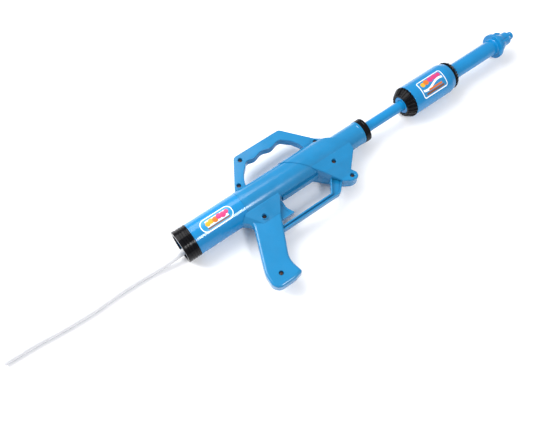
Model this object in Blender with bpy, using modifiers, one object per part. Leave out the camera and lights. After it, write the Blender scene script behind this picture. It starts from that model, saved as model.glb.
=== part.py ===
"""Slide-action hand pump, lying on its side.

The pump is laid out in its own frame: X runs along the barrel from the rear rim to the nozzle, Y points
to the carry handle, and Z to the side that lies uppermost. Sizes and places are in millimetres, and the
helpers turn them into metres. The root empty carries that frame to its place on the floor.
"""

import math

import bmesh
import bpy
from mathutils import Matrix, Vector

MM = 0.001
GAP = 0.3
SIDES = 32

# Overall
LENGTH = 595.5
AXIS_HEIGHT = 23.8
HANDLE_TOP = 66.8
GRIP_BUTT = -122.2

# Rear tube, its collar and its label
COLLAR_LENGTH = 19.0
COLLAR_RADIUS = 23.2
COLLAR_MOUTH = 17.5
COLLAR_LIP = 1.7
COLLAR_GROOVES = (6.0, 9.5, 13.5, 16.0)
TUBE_RADIUS = 22.7
TUBE_SEAT = 21.2
TUBE_BORE = 20.8
TUBE_END = 97.0
TUBE_SPIGOT = 20.5
TUBE_SPIGOT_END = 107.0
LABEL_GAP = 0.1
LABEL_THICKNESS = 0.2
TUBE_LABEL = (33.0, 81.0, -12.0, 6.6)

# Housing
PARTING_GAP = 0.15
BARREL_START = TUBE_END + GAP
BARREL_RADIUS = 22.9
BARREL_BORE = 18.7
BARREL_END = 235.0
KEEL = -19.5
KEEL_SPAN = (145.0, 209.0)
RAIL_FACE = -22.2
RAIL_SPAN = (149.5, 214.0)
NOSE_RADIUS = 16.5
NOSE_BORE = 14.6
NOSE_END = 298.0
NOSE_SEAT = 15.2
NOSE_SEAT_END = 306.0
WALL = 2.2
HANDLE_HALF = 6.5
GRIP_HALF = 9.0
GRIP_BEVEL = 2.0
BLOCK_HALF = 16.5
GUARD_HALF = 5.5
SHIELD_HALF = 20.5
SHIELD_RADIUS = AXIS_HEIGHT
SHIELD_MIDDLE = 220.0
SHIELD_REACH = 60.0
GROOVE_PITCH = 28.0
GROOVE_DEPTH = 1.6
GROOVE_CREST = 166.2
GROOVE_MIDDLE = 51.3
WAVE_START = 136.0
WAVE_STEP = 3.9
WAVE_STEPS = 16

# Front collar
RING_RADIUS = 17.2
RING_END = 307.5
RING_HOLE = 8.6

# Rod and what holds it
ROD_RADIUS = 7.6
ROD_BORE = 5.4
ROD_START = 150.0
ROD_END = 473.7
ROD_HOLE = 8.0
CLAMP_START = 170.0
CLAMP_END = 178.0
CLAMP_RADIUS = 13.0
RIB = 3.5

# Hose
HOSE_RADIUS = 4.65
HOSE_END_X = 118.0
HOSE_FLOOR = HOSE_RADIUS - AXIS_HEIGHT + 0.05
HOSE_ROUTE = (
    (HOSE_END_X, 0.0, 0.0),
    (95.0, -0.2, -1.6),
    (60.0, -1.0, -7.4),
    (30.0, -1.9, -11.2),
    (1.0, -2.4, -12.2),
    (-22.0, -2.2, -15.4),
    (-50.0, -0.2, HOSE_FLOOR),
    (-90.0, 0.9, HOSE_FLOOR),
    (-136.0, -0.9, HOSE_FLOOR),
    (-180.0, 1.0, HOSE_FLOOR),
    (-212.0, 3.7, HOSE_FLOOR),
    (-256.6, 5.5, HOSE_FLOOR),
)
HOSE_STEPS = 3

# Pump cylinder, gland, grip and nozzle, with the slide where it rests
CYLINDER_RADIUS = 11.5
CYLINDER_BORE = 9.3
CYLINDER_START = 386.3
CYLINDER_END = 555.5
CYLINDER_WALL = 553.5
FLANGE_RADIUS = 18.6
FLANGE_END = 559.5
NECK_RADIUS = 8.4
NECK_END = 573.0
GLAND_START = 375.5
GLAND_RADIUS = 12.6
GLAND_END = 386.0
REAR_CAP_START = 375.0
REAR_CAP_RIM = 16.8
REAR_CAP_END = 387.0
SLEEVE_RADIUS = 22.6
SLEEVE_BORE = 20.2
SLEEVE_SHOULDER = 456.0
SLEEVE_END = 462.0
SLEEVE_MOUTH = 20.8
FRONT_CAP_END = 470.0
FRONT_CAP_RIM = 18.0
RIBS = 24
RIB_DEPTH = 0.7
GRIP_LABEL = (401.6, 445.0, -18.0, 6.4)
PISTON_START = 474.0
PISTON_END = 486.0
PISTON_RADIUS = 9.0
SEAL_START = 478.0
SEAL_END = 482.0
BALL_RADIUS = 3.1
INLET_BALL_X = 479.0
OUTLET_BALL_X = 568.5
NOZZLE_RADIUS = 11.0
NOZZLE_END = 584.5
LUG_RADIUS = 15.5
LUG_END = 580.0
LUG_WIDTH = 3.2
TIP_RADIUS = 5.7
TIP_BORE = 1.6

# Trigger, on the pin that it turns about
PIVOT = (137.5, -17.5)
PIN_RADIUS = 1.5
PIN_HALF = 12.0
BOSS_HALF = 14.2
TRIGGER_HALF = 4.2
SPRING_RADIUS = 2.9
SPRING_WIRE = 0.35
SPRING_TURNS = 2

# Screws: x, y, height of the surface that each one sinks into
SCREWS = (
    ("screw_handle_top", 134.7, 58.1, HANDLE_HALF),
    ("screw_handle_rear", 111.4, 27.1, HANDLE_HALF),
    ("screw_web", 233.6, 19.8, 13.6),
    ("screw_shield", 233.5, -22.1, 18.2),
    ("screw_lug", 244.4, -50.2, 9.5),
    ("screw_grip_top", 112.0, -31.5, 11.0),
    ("screw_grip_butt", 84.9, -106.3, GRIP_HALF),
)
HEAD_RADIUS = 2.8
HEAD_HEIGHT = 2.0
HEAD_SUNK = 3.2
SHANK_RADIUS = 1.4
SHANK_END = -4.5
POST_RADIUS = 4.6
POST_SUNK = 1.9

# Outlines in X and Y: corners with the radius of the round at each
HANDLE_OUTLINE = (
    (96.0, 14.0, 0.0),
    (129.5, HANDLE_TOP, 7.0),
    (205.5, HANDLE_TOP, 6.0),
    (238.0, 27.0, 9.0),
    (262.0, 9.0, 0.0),
)
GRIP_OUTLINE = (
    (94.0, -14.0, 0.0),
    (92.0, -34.5, 7.0),
    (69.0, -87.0, 30.0),
    (66.8, -119.5, 7.0),
    (77.0, GRIP_BUTT, 8.0),
    (97.0, GRIP_BUTT, 8.0),
    (109.0, -119.5, 3.0),
    (104.4, -97.0, 30.0),
    (125.5, -55.5, 40.0),
    (141.0, -25.0, 0.0),
    (141.0, -14.0, 0.0),
)
BLOCK_OUTLINE = (
    (92.5, -13.0, 0.0),
    (92.5, -18.0, 1.5),
    (86.0, -25.4, 1.5),
    (91.4, -32.0, 6.0),
    (92.4, -38.5, 0.0),
    (133.0, -38.5, 0.0),
    (145.0, -20.0, 0.0),
    (145.0, -13.0, 0.0),
)
BLOCK_SECTION = (
    (-BLOCK_HALF, -10.0, 0.0),
    (-BLOCK_HALF, -17.5, 1.5),
    (-GRIP_HALF, -39.0, 0.0),
    (GRIP_HALF, -39.0, 0.0),
    (BLOCK_HALF, -17.5, 1.5),
    (BLOCK_HALF, -10.0, 0.0),
)
BLOCK_CORNER = (92.7, -18.8)
BLOCK_CORNER_TURN = 230.3
BLOCK_CORNER_SECTION = ((-93.7, -60.0, 0.0), (0.0, 13.8, 0.0), (93.7, -60.0, 0.0))
GUARD_OUTLINE = (
    (112.0, -53.6, 0.0),
    (206.0, -53.6, 3.0),
    (219.5, -34.0, 0.0),
    (232.0, -34.0, 0.0),
    (231.0, -46.0, 3.0),
    (217.5, -60.4, 8.0),
    (112.0, -60.4, 0.0),
)
SHIELD_OUTLINE = (
    (172.0, 25.0, 0.0),
    (173.0, 19.5, 3.0),
    (201.2, -11.8, 30.0),
    (213.5, -28.3, 30.0),
    (230.0, -50.5, 10.0),
    (240.0, -57.2, 10.0),
    (250.8, -57.2, 5.5),
    (252.4, -49.0, 2.5),
    (248.1, -42.6, 1.5),
    (267.0, -22.5, 3.0),
    (268.5, -12.0, 6.0),
    (249.0, 10.0, 20.0),
    (229.0, 25.0, 0.0),
)
SHIELD_SECTION = (
    (-SHIELD_HALF, -11.5, 0.0),
    (-17.0, -28.0, 0.0),
    (-9.5, -47.0, 0.0),
    (-9.5, -70.0, 0.0),
    (9.5, -70.0, 0.0),
    (9.5, -47.0, 0.0),
    (17.0, -28.0, 0.0),
    (SHIELD_HALF, -11.5, 0.0),
)
TRIGGER_OUTLINE = (
    (133.2, -15.0, 2.5),
    (137.5, -12.9, 3.5),
    (142.0, -15.0, 3.0),
    (142.4, -19.5, 2.0),
    (146.0, -25.5, 4.0),
    (145.0, -36.0, 16.0),
    (150.5, -47.2, 1.2),
    (130.2, -47.0, 1.0),
    (131.0, -39.5, 6.0),
    (136.5, -26.0, 5.0),
    (133.2, -20.0, 2.0),
)
SLOT_OUTLINE = (
    (130.5, -11.5, 0.0),
    (146.5, -11.5, 0.0),
    (149.0, -24.0, 0.0),
    (153.0, -51.0, 0.0),
    (121.5, -51.0, 0.0),
    (123.0, -44.0, 0.0),
    (129.0, -25.0, 0.0),
)

COLOURS = {
    "blue_gloss": ((0.016, 0.280, 0.640, 1.0), 0.18, 0.0),
    "blue_satin": ((0.016, 0.270, 0.620, 1.0), 0.34, 0.0),
    "black_plastic": ((0.012, 0.013, 0.016, 1.0), 0.45, 0.0),
    "steel": ((0.50, 0.51, 0.53, 1.0), 0.35, 1.0),
    "rubber": ((0.020, 0.020, 0.020, 1.0), 0.75, 0.0),
    "white_plastic": ((0.78, 0.80, 0.82, 1.0), 0.40, 0.0),
    "clear_hose": ((0.72, 0.78, 0.80, 1.0), 0.12, 0.0),
    "label": ((0.70, 0.76, 0.86, 1.0), 0.35, 0.0),
}


def clear_scene():
    for obj in list(bpy.data.objects):
        bpy.data.objects.remove(obj)


def make_collection(name):
    collection = bpy.data.collections.new(name)
    bpy.context.scene.collection.children.link(collection)
    return collection


def make_material(name):
    colour, roughness, metallic = COLOURS[name]
    material = bpy.data.materials.new(name)
    material.use_nodes = True
    shader = material.node_tree.nodes["Principled BSDF"]
    shader.inputs["Base Color"].default_value = colour
    shader.inputs["Roughness"].default_value = roughness
    shader.inputs["Metallic"].default_value = metallic
    material.diffuse_color = colour
    return material


def tool(data):
    """An object for building with: a wire in the cutters' collection, never rendered."""
    obj = bpy.data.objects.new("tool", data)
    obj.hide_render = True
    obj.display_type = "WIRE"
    cutters.objects.link(obj)
    return obj


def place(obj, name, material):
    """Turns a built object into a named piece of the pump."""
    cutters.objects.unlink(obj)
    pieces.objects.link(obj)
    obj.name = name
    obj.data.name = name
    obj.hide_render = False
    obj.display_type = "TEXTURED"
    obj.data.materials.clear()
    obj.data.materials.append(materials[material])
    obj.parent = root
    return obj


def bake(obj):
    """Replaces a curve or a modifier stack with the mesh that it makes."""
    graph = bpy.context.evaluated_depsgraph_get()
    graph.update()
    mesh = bpy.data.meshes.new_from_object(obj.evaluated_get(graph))
    shape = bmesh.new()
    shape.from_mesh(mesh)
    bmesh.ops.remove_doubles(shape, verts=shape.verts, dist=0.002 * MM)
    bmesh.ops.dissolve_degenerate(shape, edges=shape.edges, dist=0.001 * MM)
    shape.to_mesh(mesh)
    shape.free()
    baked = tool(mesh)
    baked.matrix_world = obj.matrix_world.copy()
    bpy.data.objects.remove(obj)
    return baked


def combine(target, operation, tools):
    """Boolean of the target with each tool in turn. The tools are used up."""
    for other in tools:
        modifier = target.modifiers.new(operation.lower(), "BOOLEAN")
        modifier.operation = operation
        modifier.solver = "EXACT"
        modifier.object = other
    result = bake(target)
    for other in tools:
        bpy.data.objects.remove(other)
    return result


def smooth(obj, degrees=35.0):
    obj.data.shade_smooth()
    obj.data.set_sharp_from_angle(angle=math.radians(degrees))
    return obj


def turned(outer, inner=(), sides=SIDES, upright=False):
    """Solid of revolution from (station, radius) points, rear to front along the barrel, or low to high."""
    ring = list(reversed(outer)) + list(inner)
    points = [(radius * MM, 0.0, x * MM) for x, radius in ring]
    edges = [(i, i + 1) for i in range(len(points) - 1)]
    if inner:
        edges.append((len(points) - 1, 0))
    mesh = bpy.data.meshes.new("profile")
    mesh.from_pydata(points, edges, [])
    obj = tool(mesh)
    obj.rotation_euler = (0.0, math.radians(0.0 if upright else 90.0), 0.0)
    screw = obj.modifiers.new("turn", "SCREW")
    screw.steps = sides
    screw.render_steps = sides
    screw.use_merge_vertices = True
    screw.merge_threshold = 0.01 * MM
    return smooth(bake(obj))


def rounded(corners, steps=2):
    """Closed outline through (x, y, radius) corners, each one rounded by an arc."""
    points = []
    for i, (x, y, radius) in enumerate(corners):
        corner = Vector((x, y))
        if radius == 0.0:
            points.append(corner)
            continue
        before = (Vector(corners[i - 1][:2]) - corner).normalized()
        after = (Vector(corners[(i + 1) % len(corners)][:2]) - corner).normalized()
        half = before.angle(after) / 2.0
        reach = radius / math.tan(half)
        centre = corner + (before + after).normalized() * radius / math.sin(half)
        start = corner + before * reach - centre
        turn = start.angle_signed(corner + after * reach - centre)
        for step in range(steps + 1):
            angle = -turn * step / steps
            spoke = Vector((
                start.x * math.cos(angle) - start.y * math.sin(angle),
                start.x * math.sin(angle) + start.y * math.cos(angle),
            ))
            points.append(centre + spoke)
    return points


def inset(corners, distance):
    """The corners moved inwards, so that each side shifts by the distance."""
    area = sum(a[0] * b[1] - b[0] * a[1] for a, b in zip(corners, corners[1:] + corners[:1]))
    side = math.copysign(distance, area)
    moved = []
    for i, (x, y, radius) in enumerate(corners):
        before = (Vector((x, y)) - Vector(corners[i - 1][:2])).normalized()
        after = (Vector(corners[(i + 1) % len(corners)][:2]) - Vector((x, y))).normalized()
        bisector = Vector((-before.y - after.y, before.x + after.x)).normalized()
        reach = side / bisector.dot(Vector((-before.y, before.x)))
        moved.append((x + bisector.x * reach, y + bisector.y * reach, radius))
    return tuple(moved)


def slab(outlines, low, high, bevel=0.0, origin=(0.0, 0.0)):
    """Flat outlines, holes included, standing from one height to another."""
    curve = bpy.data.curves.new("outline", "CURVE")
    curve.dimensions = "2D"
    curve.fill_mode = "BOTH"
    curve.extrude = ((high - low) / 2.0 - bevel) * MM
    curve.bevel_depth = bevel * MM
    curve.bevel_resolution = 1
    curve.offset = -bevel * MM
    for outline in outlines:
        spline = curve.splines.new("POLY")
        spline.points.add(len(outline) - 1)
        spline.use_cyclic_u = True
        for point, (x, y) in zip(spline.points, outline):
            point.co = ((x - origin[0]) * MM, (y - origin[1]) * MM, 0.0, 1.0)
    obj = tool(curve)
    obj.location = (origin[0] * MM, origin[1] * MM, (high + low) / 2.0 * MM)
    bpy.context.view_layer.update()
    return bake(obj)


def post(x, y, low, high, radius, sides=16):
    """Upright cylinder, standing across the barrel's axis."""
    mesh = bpy.data.meshes.new("post")
    shape = bmesh.new()
    bmesh.ops.create_cone(
        shape, cap_ends=True, segments=sides, radius1=radius * MM, radius2=radius * MM,
        depth=(high - low) * MM,
    )
    shape.to_mesh(mesh)
    shape.free()
    obj = tool(mesh)
    obj.location = (x * MM, y * MM, (high + low) / 2.0 * MM)
    bpy.context.view_layer.update()
    return obj


def box(low, high):
    mesh = bpy.data.meshes.new("box")
    shape = bmesh.new()
    bmesh.ops.create_cube(shape, size=1.0)
    size = [(b - a) * MM for a, b in zip(low, high)]
    bmesh.ops.scale(shape, vec=size, verts=shape.verts)
    shape.to_mesh(mesh)
    shape.free()
    obj = tool(mesh)
    obj.location = [(a + b) / 2.0 * MM for a, b in zip(low, high)]
    bpy.context.view_layer.update()
    return obj


def ball(x, radius):
    mesh = bpy.data.meshes.new("ball")
    shape = bmesh.new()
    bmesh.ops.create_uvsphere(shape, u_segments=12, v_segments=6, radius=radius * MM)
    shape.to_mesh(mesh)
    shape.free()
    obj = tool(mesh)
    obj.location = (x * MM, 0.0, 0.0)
    bpy.context.view_layer.update()
    return smooth(obj, 60.0)


def tube(points, radius, origin=(0.0, 0.0, 0.0)):
    """Round bar along the points, closed at both ends."""
    curve = bpy.data.curves.new("route", "CURVE")
    curve.dimensions = "3D"
    curve.bevel_depth = radius * MM
    curve.bevel_resolution = 2
    curve.use_fill_caps = True
    spline = curve.splines.new("POLY")
    spline.points.add(len(points) - 1)
    for target, point in zip(spline.points, points):
        local = [(a - b) * MM for a, b in zip(point, origin)]
        target.co = (*local, 1.0)
    obj = tool(curve)
    obj.location = [value * MM for value in origin]
    bpy.context.view_layer.update()
    return smooth(bake(obj), 60.0)


def ribbed(obj, first, last):
    """Cuts lengthwise ribs into the outer surface between two stations, by moving every other spoke in."""
    for vertex in obj.data.vertices:
        x = vertex.co.z / MM
        radius = math.hypot(vertex.co.x, vertex.co.y) / MM
        spoke = round(math.atan2(vertex.co.y, vertex.co.x) / math.tau * 2 * RIBS)
        outside = first - 0.1 < x < last + 0.1 and radius > REAR_CAP_RIM - 0.5
        if outside and spoke % 2:
            share = (radius - RIB_DEPTH) / radius
            vertex.co.x *= share
            vertex.co.y *= share
    return obj


def smooth_route(points, steps):
    """Catmull-Rom curve through the points."""
    ends = [points[0], *points, points[-1]]
    route = []
    for a, b, c, d in zip(ends, ends[1:], ends[2:], ends[3:]):
        a, b, c, d = Vector(a), Vector(b), Vector(c), Vector(d)
        for step in range(steps):
            t = step / steps
            route.append(
                (2 * b + (c - a) * t + (2 * a - 5 * b + 4 * c - d) * t ** 2
                 + (3 * b - a - 3 * c + d) * t ** 3) / 2
            )
    route.append(Vector(points[-1]))
    return route


def rear_collar():
    outer = [(0.0, COLLAR_RADIUS - 0.8), (0.8, COLLAR_RADIUS)]
    for x in COLLAR_GROOVES:
        outer += [(x - 0.5, COLLAR_RADIUS), (x, COLLAR_RADIUS - 0.5), (x + 0.5, COLLAR_RADIUS)]
    outer.append((COLLAR_LENGTH, COLLAR_RADIUS))
    inner = (
        (0.0, COLLAR_MOUTH),
        (COLLAR_LIP, COLLAR_MOUTH),
        (COLLAR_LIP, TUBE_SEAT + GAP),
        (COLLAR_LENGTH, TUBE_SEAT + GAP),
    )
    place(turned(outer, inner), "rear_collar", "black_plastic")


def rear_tube():
    start = COLLAR_LIP + GAP
    seat_end = COLLAR_LENGTH + GAP
    outer = (
        (start, TUBE_SEAT),
        (seat_end, TUBE_SEAT),
        (seat_end, TUBE_RADIUS),
        (TUBE_END, TUBE_RADIUS),
        (TUBE_END, TUBE_SPIGOT),
        (TUBE_SPIGOT_END, TUBE_SPIGOT),
    )
    inner = (
        (start, TUBE_SEAT - 1.8),
        (seat_end, TUBE_SEAT - 1.8),
        (seat_end + 3.0, TUBE_BORE),
        (TUBE_END - 4.0, TUBE_BORE),
        (TUBE_END - 2.0, TUBE_SPIGOT - 1.6),
        (TUBE_SPIGOT_END, TUBE_SPIGOT - 1.6),
    )
    place(turned(outer, inner), "rear_tube", "blue_gloss")


def label(name, bounds, radius, corner):
    """Thin printed skin on the upper side of a round piece."""
    x0, x1, y0, y1 = bounds
    low = radius + LABEL_GAP
    high = low + LABEL_THICKNESS
    skin = turned([(x0 - 2.0, high), (x1 + 2.0, high)], [(x0 - 2.0, low), (x1 + 2.0, low)])
    outline = rounded(((x0, y0, corner), (x1, y0, corner), (x1, y1, corner), (x0, y1, corner)), 4)
    place(combine(skin, "INTERSECT", [slab([outline], 2.0, 30.0)]), name, "label")


def grip_opening():
    """Outline of the hand hole: sloping ends, and a top edge that waves between the fingers."""
    left = [(118.5, 15.5), (119.6, 24.0), (122.5, 32.0), (127.0, 40.0), (136.0, 49.0)]
    right = [(209.5, 42.0), (215.5, 31.5), (217.5, 24.0), (218.0, 15.5)]
    wave = []
    for step in range(1, WAVE_STEPS + 1):
        x = WAVE_START + step * WAVE_STEP
        turn = (x - GROOVE_CREST) / GROOVE_PITCH * math.tau
        wave.append((x, GROOVE_MIDDLE + GROOVE_DEPTH * math.cos(turn)))
    return [Vector(point) for point in left + wave + right]


def lengthwise(section, x, reach):
    """Bar along the barrel with a (height, y) section, centred on a station."""
    bar = slab([rounded(section)], -reach, reach)
    bar.rotation_euler = (0.0, math.radians(90.0), 0.0)
    bar.location = (x * MM, 0.0, 0.0)
    bpy.context.view_layer.update()
    return bar


def shield():
    """Cover over the joint: it follows the barrel above, and thins towards its lug below."""
    low, high = SHIELD_MIDDLE - SHIELD_REACH, SHIELD_MIDDLE + SHIELD_REACH
    round_part = turned([(low, 0.0), (low, SHIELD_RADIUS), (high, SHIELD_RADIUS), (high, 0.0)])
    body = combine(round_part, "UNION", [lengthwise(SHIELD_SECTION, SHIELD_MIDDLE, SHIELD_REACH)])
    return combine(body, "INTERSECT", [slab([rounded(SHIELD_OUTLINE)], -30.0, 30.0)])


def shield_hollow():
    lower = tuple(corner for corner in SHIELD_OUTLINE if corner[1] < -20.0)
    lower = ((208.0, -17.0, 0.0), *lower, (266.0, -17.0, 0.0))
    outline = slab([rounded(inset(lower, WALL))], -30.0, 30.0)
    section = lengthwise(inset(SHIELD_SECTION, WALL), SHIELD_MIDDLE, SHIELD_REACH)
    return combine(outline, "INTERSECT", [section])


def barrel_blank():
    outer = (
        (BARREL_START - 2.0, 0.0),
        (BARREL_START - 2.0, BARREL_RADIUS),
        (BARREL_END, BARREL_RADIUS),
        (BARREL_END + 10.0, NOSE_RADIUS),
        (NOSE_END, NOSE_RADIUS),
        (NOSE_END, NOSE_SEAT),
        (NOSE_SEAT_END, NOSE_SEAT),
        (NOSE_SEAT_END, 0.0),
    )
    keel = box((KEEL_SPAN[0], KEEL - 10.0, -30.0), (KEEL_SPAN[1], KEEL, 30.0))
    return combine(turned(outer), "DIFFERENCE", [keel])


def block(shrink=0.0):
    """Shoulder between barrel and grip, thinning to the grip and to its rear corner, or its hollow."""
    outline = slab([rounded(inset(BLOCK_OUTLINE, shrink))], -BLOCK_HALF - 2.0, BLOCK_HALF + 2.0)
    taper = lengthwise(inset(BLOCK_SECTION, shrink), 115.0, 35.0)
    corner = slab([rounded(inset(BLOCK_CORNER_SECTION, shrink))], -80.0, 80.0)
    turn = math.radians(BLOCK_CORNER_TURN)
    outward = Vector((math.cos(turn), math.sin(turn), 0.0))
    upward = Vector((0.0, 0.0, 1.0))
    corner.matrix_world = Matrix.Translation((BLOCK_CORNER[0] * MM, BLOCK_CORNER[1] * MM, 0.0)) @ Matrix(
        (upward, outward, upward.cross(outward))
    ).transposed().to_4x4()
    bpy.context.view_layer.update()
    return combine(outline, "INTERSECT", [taper, corner])


def housing_blank():
    """Both halves as one solid, outside only."""
    handle = slab([rounded(HANDLE_OUTLINE), grip_opening()], -HANDLE_HALF, HANDLE_HALF)
    grip = slab([rounded(GRIP_OUTLINE)], -GRIP_HALF, GRIP_HALF, GRIP_BEVEL)
    guard = slab([rounded(GUARD_OUTLINE)], -GUARD_HALF, GUARD_HALF)
    rail = box((RAIL_SPAN[0], RAIL_FACE, -GUARD_HALF), (RAIL_SPAN[1], KEEL + 0.4, GUARD_HALF))
    return combine(barrel_blank(), "UNION", [block(), grip, guard, rail, handle, shield()])


def housing_cavities():
    """Hollows inside the housing: bore, handle, grip, shoulder and cover."""
    bore = turned((
        (BARREL_START - 30.0, 0.0),
        (BARREL_START - 30.0, TUBE_RADIUS + GAP),
        (BARREL_START, TUBE_RADIUS + GAP),
        (BARREL_START, TUBE_SPIGOT + 0.4),
        (TUBE_SPIGOT_END + 1.5, TUBE_SPIGOT + 0.4),
        (TUBE_SPIGOT_END + 1.5, BARREL_BORE),
        (BARREL_END - 8.0, BARREL_BORE),
        (BARREL_END + 4.0, NOSE_BORE),
        (NOSE_END + 2.0, NOSE_BORE),
        (NOSE_END + 2.0, ROD_HOLE),
        (NOSE_SEAT_END + 5.0, ROD_HOLE),
        (NOSE_SEAT_END + 5.0, 0.0),
    ))
    grip = slab([rounded(inset(GRIP_OUTLINE, WALL))], WALL - GRIP_HALF, GRIP_HALF - WALL)
    return [bore, grip, block(WALL + 0.6), shield_hollow()]


def housing_fittings():
    """Ribs round the rod clamp, bosses of the trigger pin and posts for the screws."""
    parts = []
    for start in (CLAMP_START - GAP - RIB, CLAMP_END + GAP):
        end = start + RIB
        reach = BARREL_BORE + 0.8
        parts.append(turned([(start, reach), (end, reach)], [(start, ROD_HOLE), (end, ROD_HOLE)]))
    for side in (-1.0, 1.0):
        near, far = sorted((side * (TRIGGER_HALF + 0.7), side * BOSS_HALF))
        parts.append(post(*PIVOT, near, far, PIN_RADIUS + 2.0))
    for _, x, y, surface in SCREWS:
        parts.append(post(x, y, POST_SUNK - surface, surface - POST_SUNK, POST_RADIUS))
    return parts


def screw_cuts():
    cuts = []
    for _, x, y, surface in SCREWS:
        seat = surface - HEAD_SUNK - HEAD_HEIGHT - GAP
        cuts.append(post(x, y, seat, 40.0, HEAD_RADIUS + GAP))
        cuts.append(post(x, y, SHANK_END - GAP, seat + 1.0, SHANK_RADIUS + GAP, 12))
    return cuts


def housing():
    body = combine(housing_blank(), "DIFFERENCE", housing_cavities())
    body = combine(body, "UNION", housing_fittings())
    pin = post(*PIVOT, -PIN_HALF - GAP, PIN_HALF + GAP, PIN_RADIUS + GAP, 12)
    slot = slab([rounded(SLOT_OUTLINE)], -TRIGGER_HALF - 0.5, TRIGGER_HALF + 0.5)
    body = combine(body, "DIFFERENCE", [slot, pin, *screw_cuts()])
    other = tool(body.data.copy())
    other.matrix_world = body.matrix_world.copy()
    upper = box((0.0, -200.0, PARTING_GAP), (LENGTH, 200.0, 100.0))
    lower = box((0.0, -200.0, -100.0), (LENGTH, 200.0, -PARTING_GAP))
    right = combine(body, "INTERSECT", [upper])
    left = combine(other, "INTERSECT", [lower])
    place(smooth(right), "housing_right", "blue_satin")
    place(smooth(left), "housing_left", "blue_satin")


def front_collar():
    start = NOSE_END + GAP
    outer = ((start, RING_RADIUS), (RING_END - 0.8, RING_RADIUS), (RING_END, RING_RADIUS - 0.8))
    inner = (
        (start, NOSE_SEAT + GAP),
        (NOSE_SEAT_END + GAP, NOSE_SEAT + GAP),
        (NOSE_SEAT_END + GAP, RING_HOLE),
        (RING_END, RING_HOLE),
    )
    place(turned(outer, inner), "front_collar", "black_plastic")


def rod():
    outer = ((ROD_START, ROD_RADIUS), (ROD_END, ROD_RADIUS))
    inner = ((ROD_START, ROD_BORE), (ROD_END, ROD_BORE))
    place(turned(outer, inner), "rod_tube", "blue_gloss")
    outer = ((CLAMP_START, CLAMP_RADIUS), (CLAMP_END, CLAMP_RADIUS))
    inner = ((CLAMP_START, ROD_RADIUS + GAP), (CLAMP_END, ROD_RADIUS + GAP))
    place(turned(outer, inner, 24), "rod_clamp", "black_plastic")


def hose_connector():
    """Flanged spout in the rod's rear end, with the hose's inner end against it."""
    flange = ROD_START - GAP
    outer = (
        (HOSE_END_X + GAP, HOSE_RADIUS),
        (flange - 4.0, HOSE_RADIUS),
        (flange - 3.0, ROD_RADIUS + 1.2),
        (flange, ROD_RADIUS + 1.2),
        (flange, ROD_BORE - GAP),
        (ROD_START + 12.0, ROD_BORE - GAP),
    )
    inner = ((HOSE_END_X + GAP, 2.6), (ROD_START + 12.0, 2.6))
    place(turned(outer, inner, 20), "hose_connector", "white_plastic")


def suction_hose():
    route = smooth_route(HOSE_ROUTE, HOSE_STEPS)
    for point in route:
        point.z = max(point.z, HOSE_FLOOR)
    place(tube(route, HOSE_RADIUS), "suction_hose", "clear_hose")


def piston():
    outer = (
        (PISTON_START - 12.0, ROD_BORE - GAP),
        (PISTON_START, ROD_BORE - GAP),
        (PISTON_START, PISTON_RADIUS),
        (SEAL_START, PISTON_RADIUS),
        (SEAL_START, PISTON_RADIUS - 1.8),
        (SEAL_END, PISTON_RADIUS - 1.8),
        (SEAL_END, PISTON_RADIUS),
        (PISTON_END, PISTON_RADIUS),
    )
    pocket = BALL_RADIUS + 0.6
    inner = (
        (PISTON_START - 12.0, 2.4),
        (INLET_BALL_X - BALL_RADIUS - 0.9, 2.4),
        (INLET_BALL_X - BALL_RADIUS - 0.9, pocket),
        (INLET_BALL_X + BALL_RADIUS + 0.9, pocket),
        (INLET_BALL_X + BALL_RADIUS + 0.9, 2.4),
        (PISTON_END, 2.4),
    )
    place(turned(outer, inner, 24), "piston_head", "white_plastic")
    start = SEAL_START + GAP
    end = SEAL_END - GAP
    outer = ((start, CYLINDER_BORE - 0.1), (end, CYLINDER_BORE - 0.1))
    inner = ((start, PISTON_RADIUS - 1.5), (end, PISTON_RADIUS - 1.5))
    place(turned(outer, inner, 24), "piston_seal", "rubber")
    place(ball(INLET_BALL_X, BALL_RADIUS), "inlet_valve_ball", "steel")
    place(ball(OUTLET_BALL_X, BALL_RADIUS), "outlet_valve_ball", "steel")


def pump_cylinder():
    outer = (
        (CYLINDER_START, CYLINDER_RADIUS),
        (CYLINDER_END, CYLINDER_RADIUS),
        (CYLINDER_END, FLANGE_RADIUS),
        (FLANGE_END, FLANGE_RADIUS),
        (FLANGE_END, NECK_RADIUS),
        (NECK_END, NECK_RADIUS),
    )
    pocket = OUTLET_BALL_X - BALL_RADIUS - 0.9
    inner = (
        (CYLINDER_START, CYLINDER_BORE),
        (CYLINDER_WALL, CYLINDER_BORE),
        (CYLINDER_WALL, 2.4),
        (pocket, 2.4),
        (pocket, BALL_RADIUS + 0.6),
        (NECK_END, BALL_RADIUS + 0.6),
    )
    place(turned(outer, inner), "pump_cylinder", "blue_gloss")
    outer = (
        (GLAND_START, GLAND_RADIUS),
        (GLAND_END, GLAND_RADIUS),
        (GLAND_END, CYLINDER_BORE - GAP),
        (GLAND_END + 5.0, CYLINDER_BORE - GAP),
    )
    inner = ((GLAND_START, ROD_HOLE), (GLAND_END + 5.0, ROD_HOLE))
    place(turned(outer, inner), "cylinder_gland", "blue_gloss")


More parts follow.
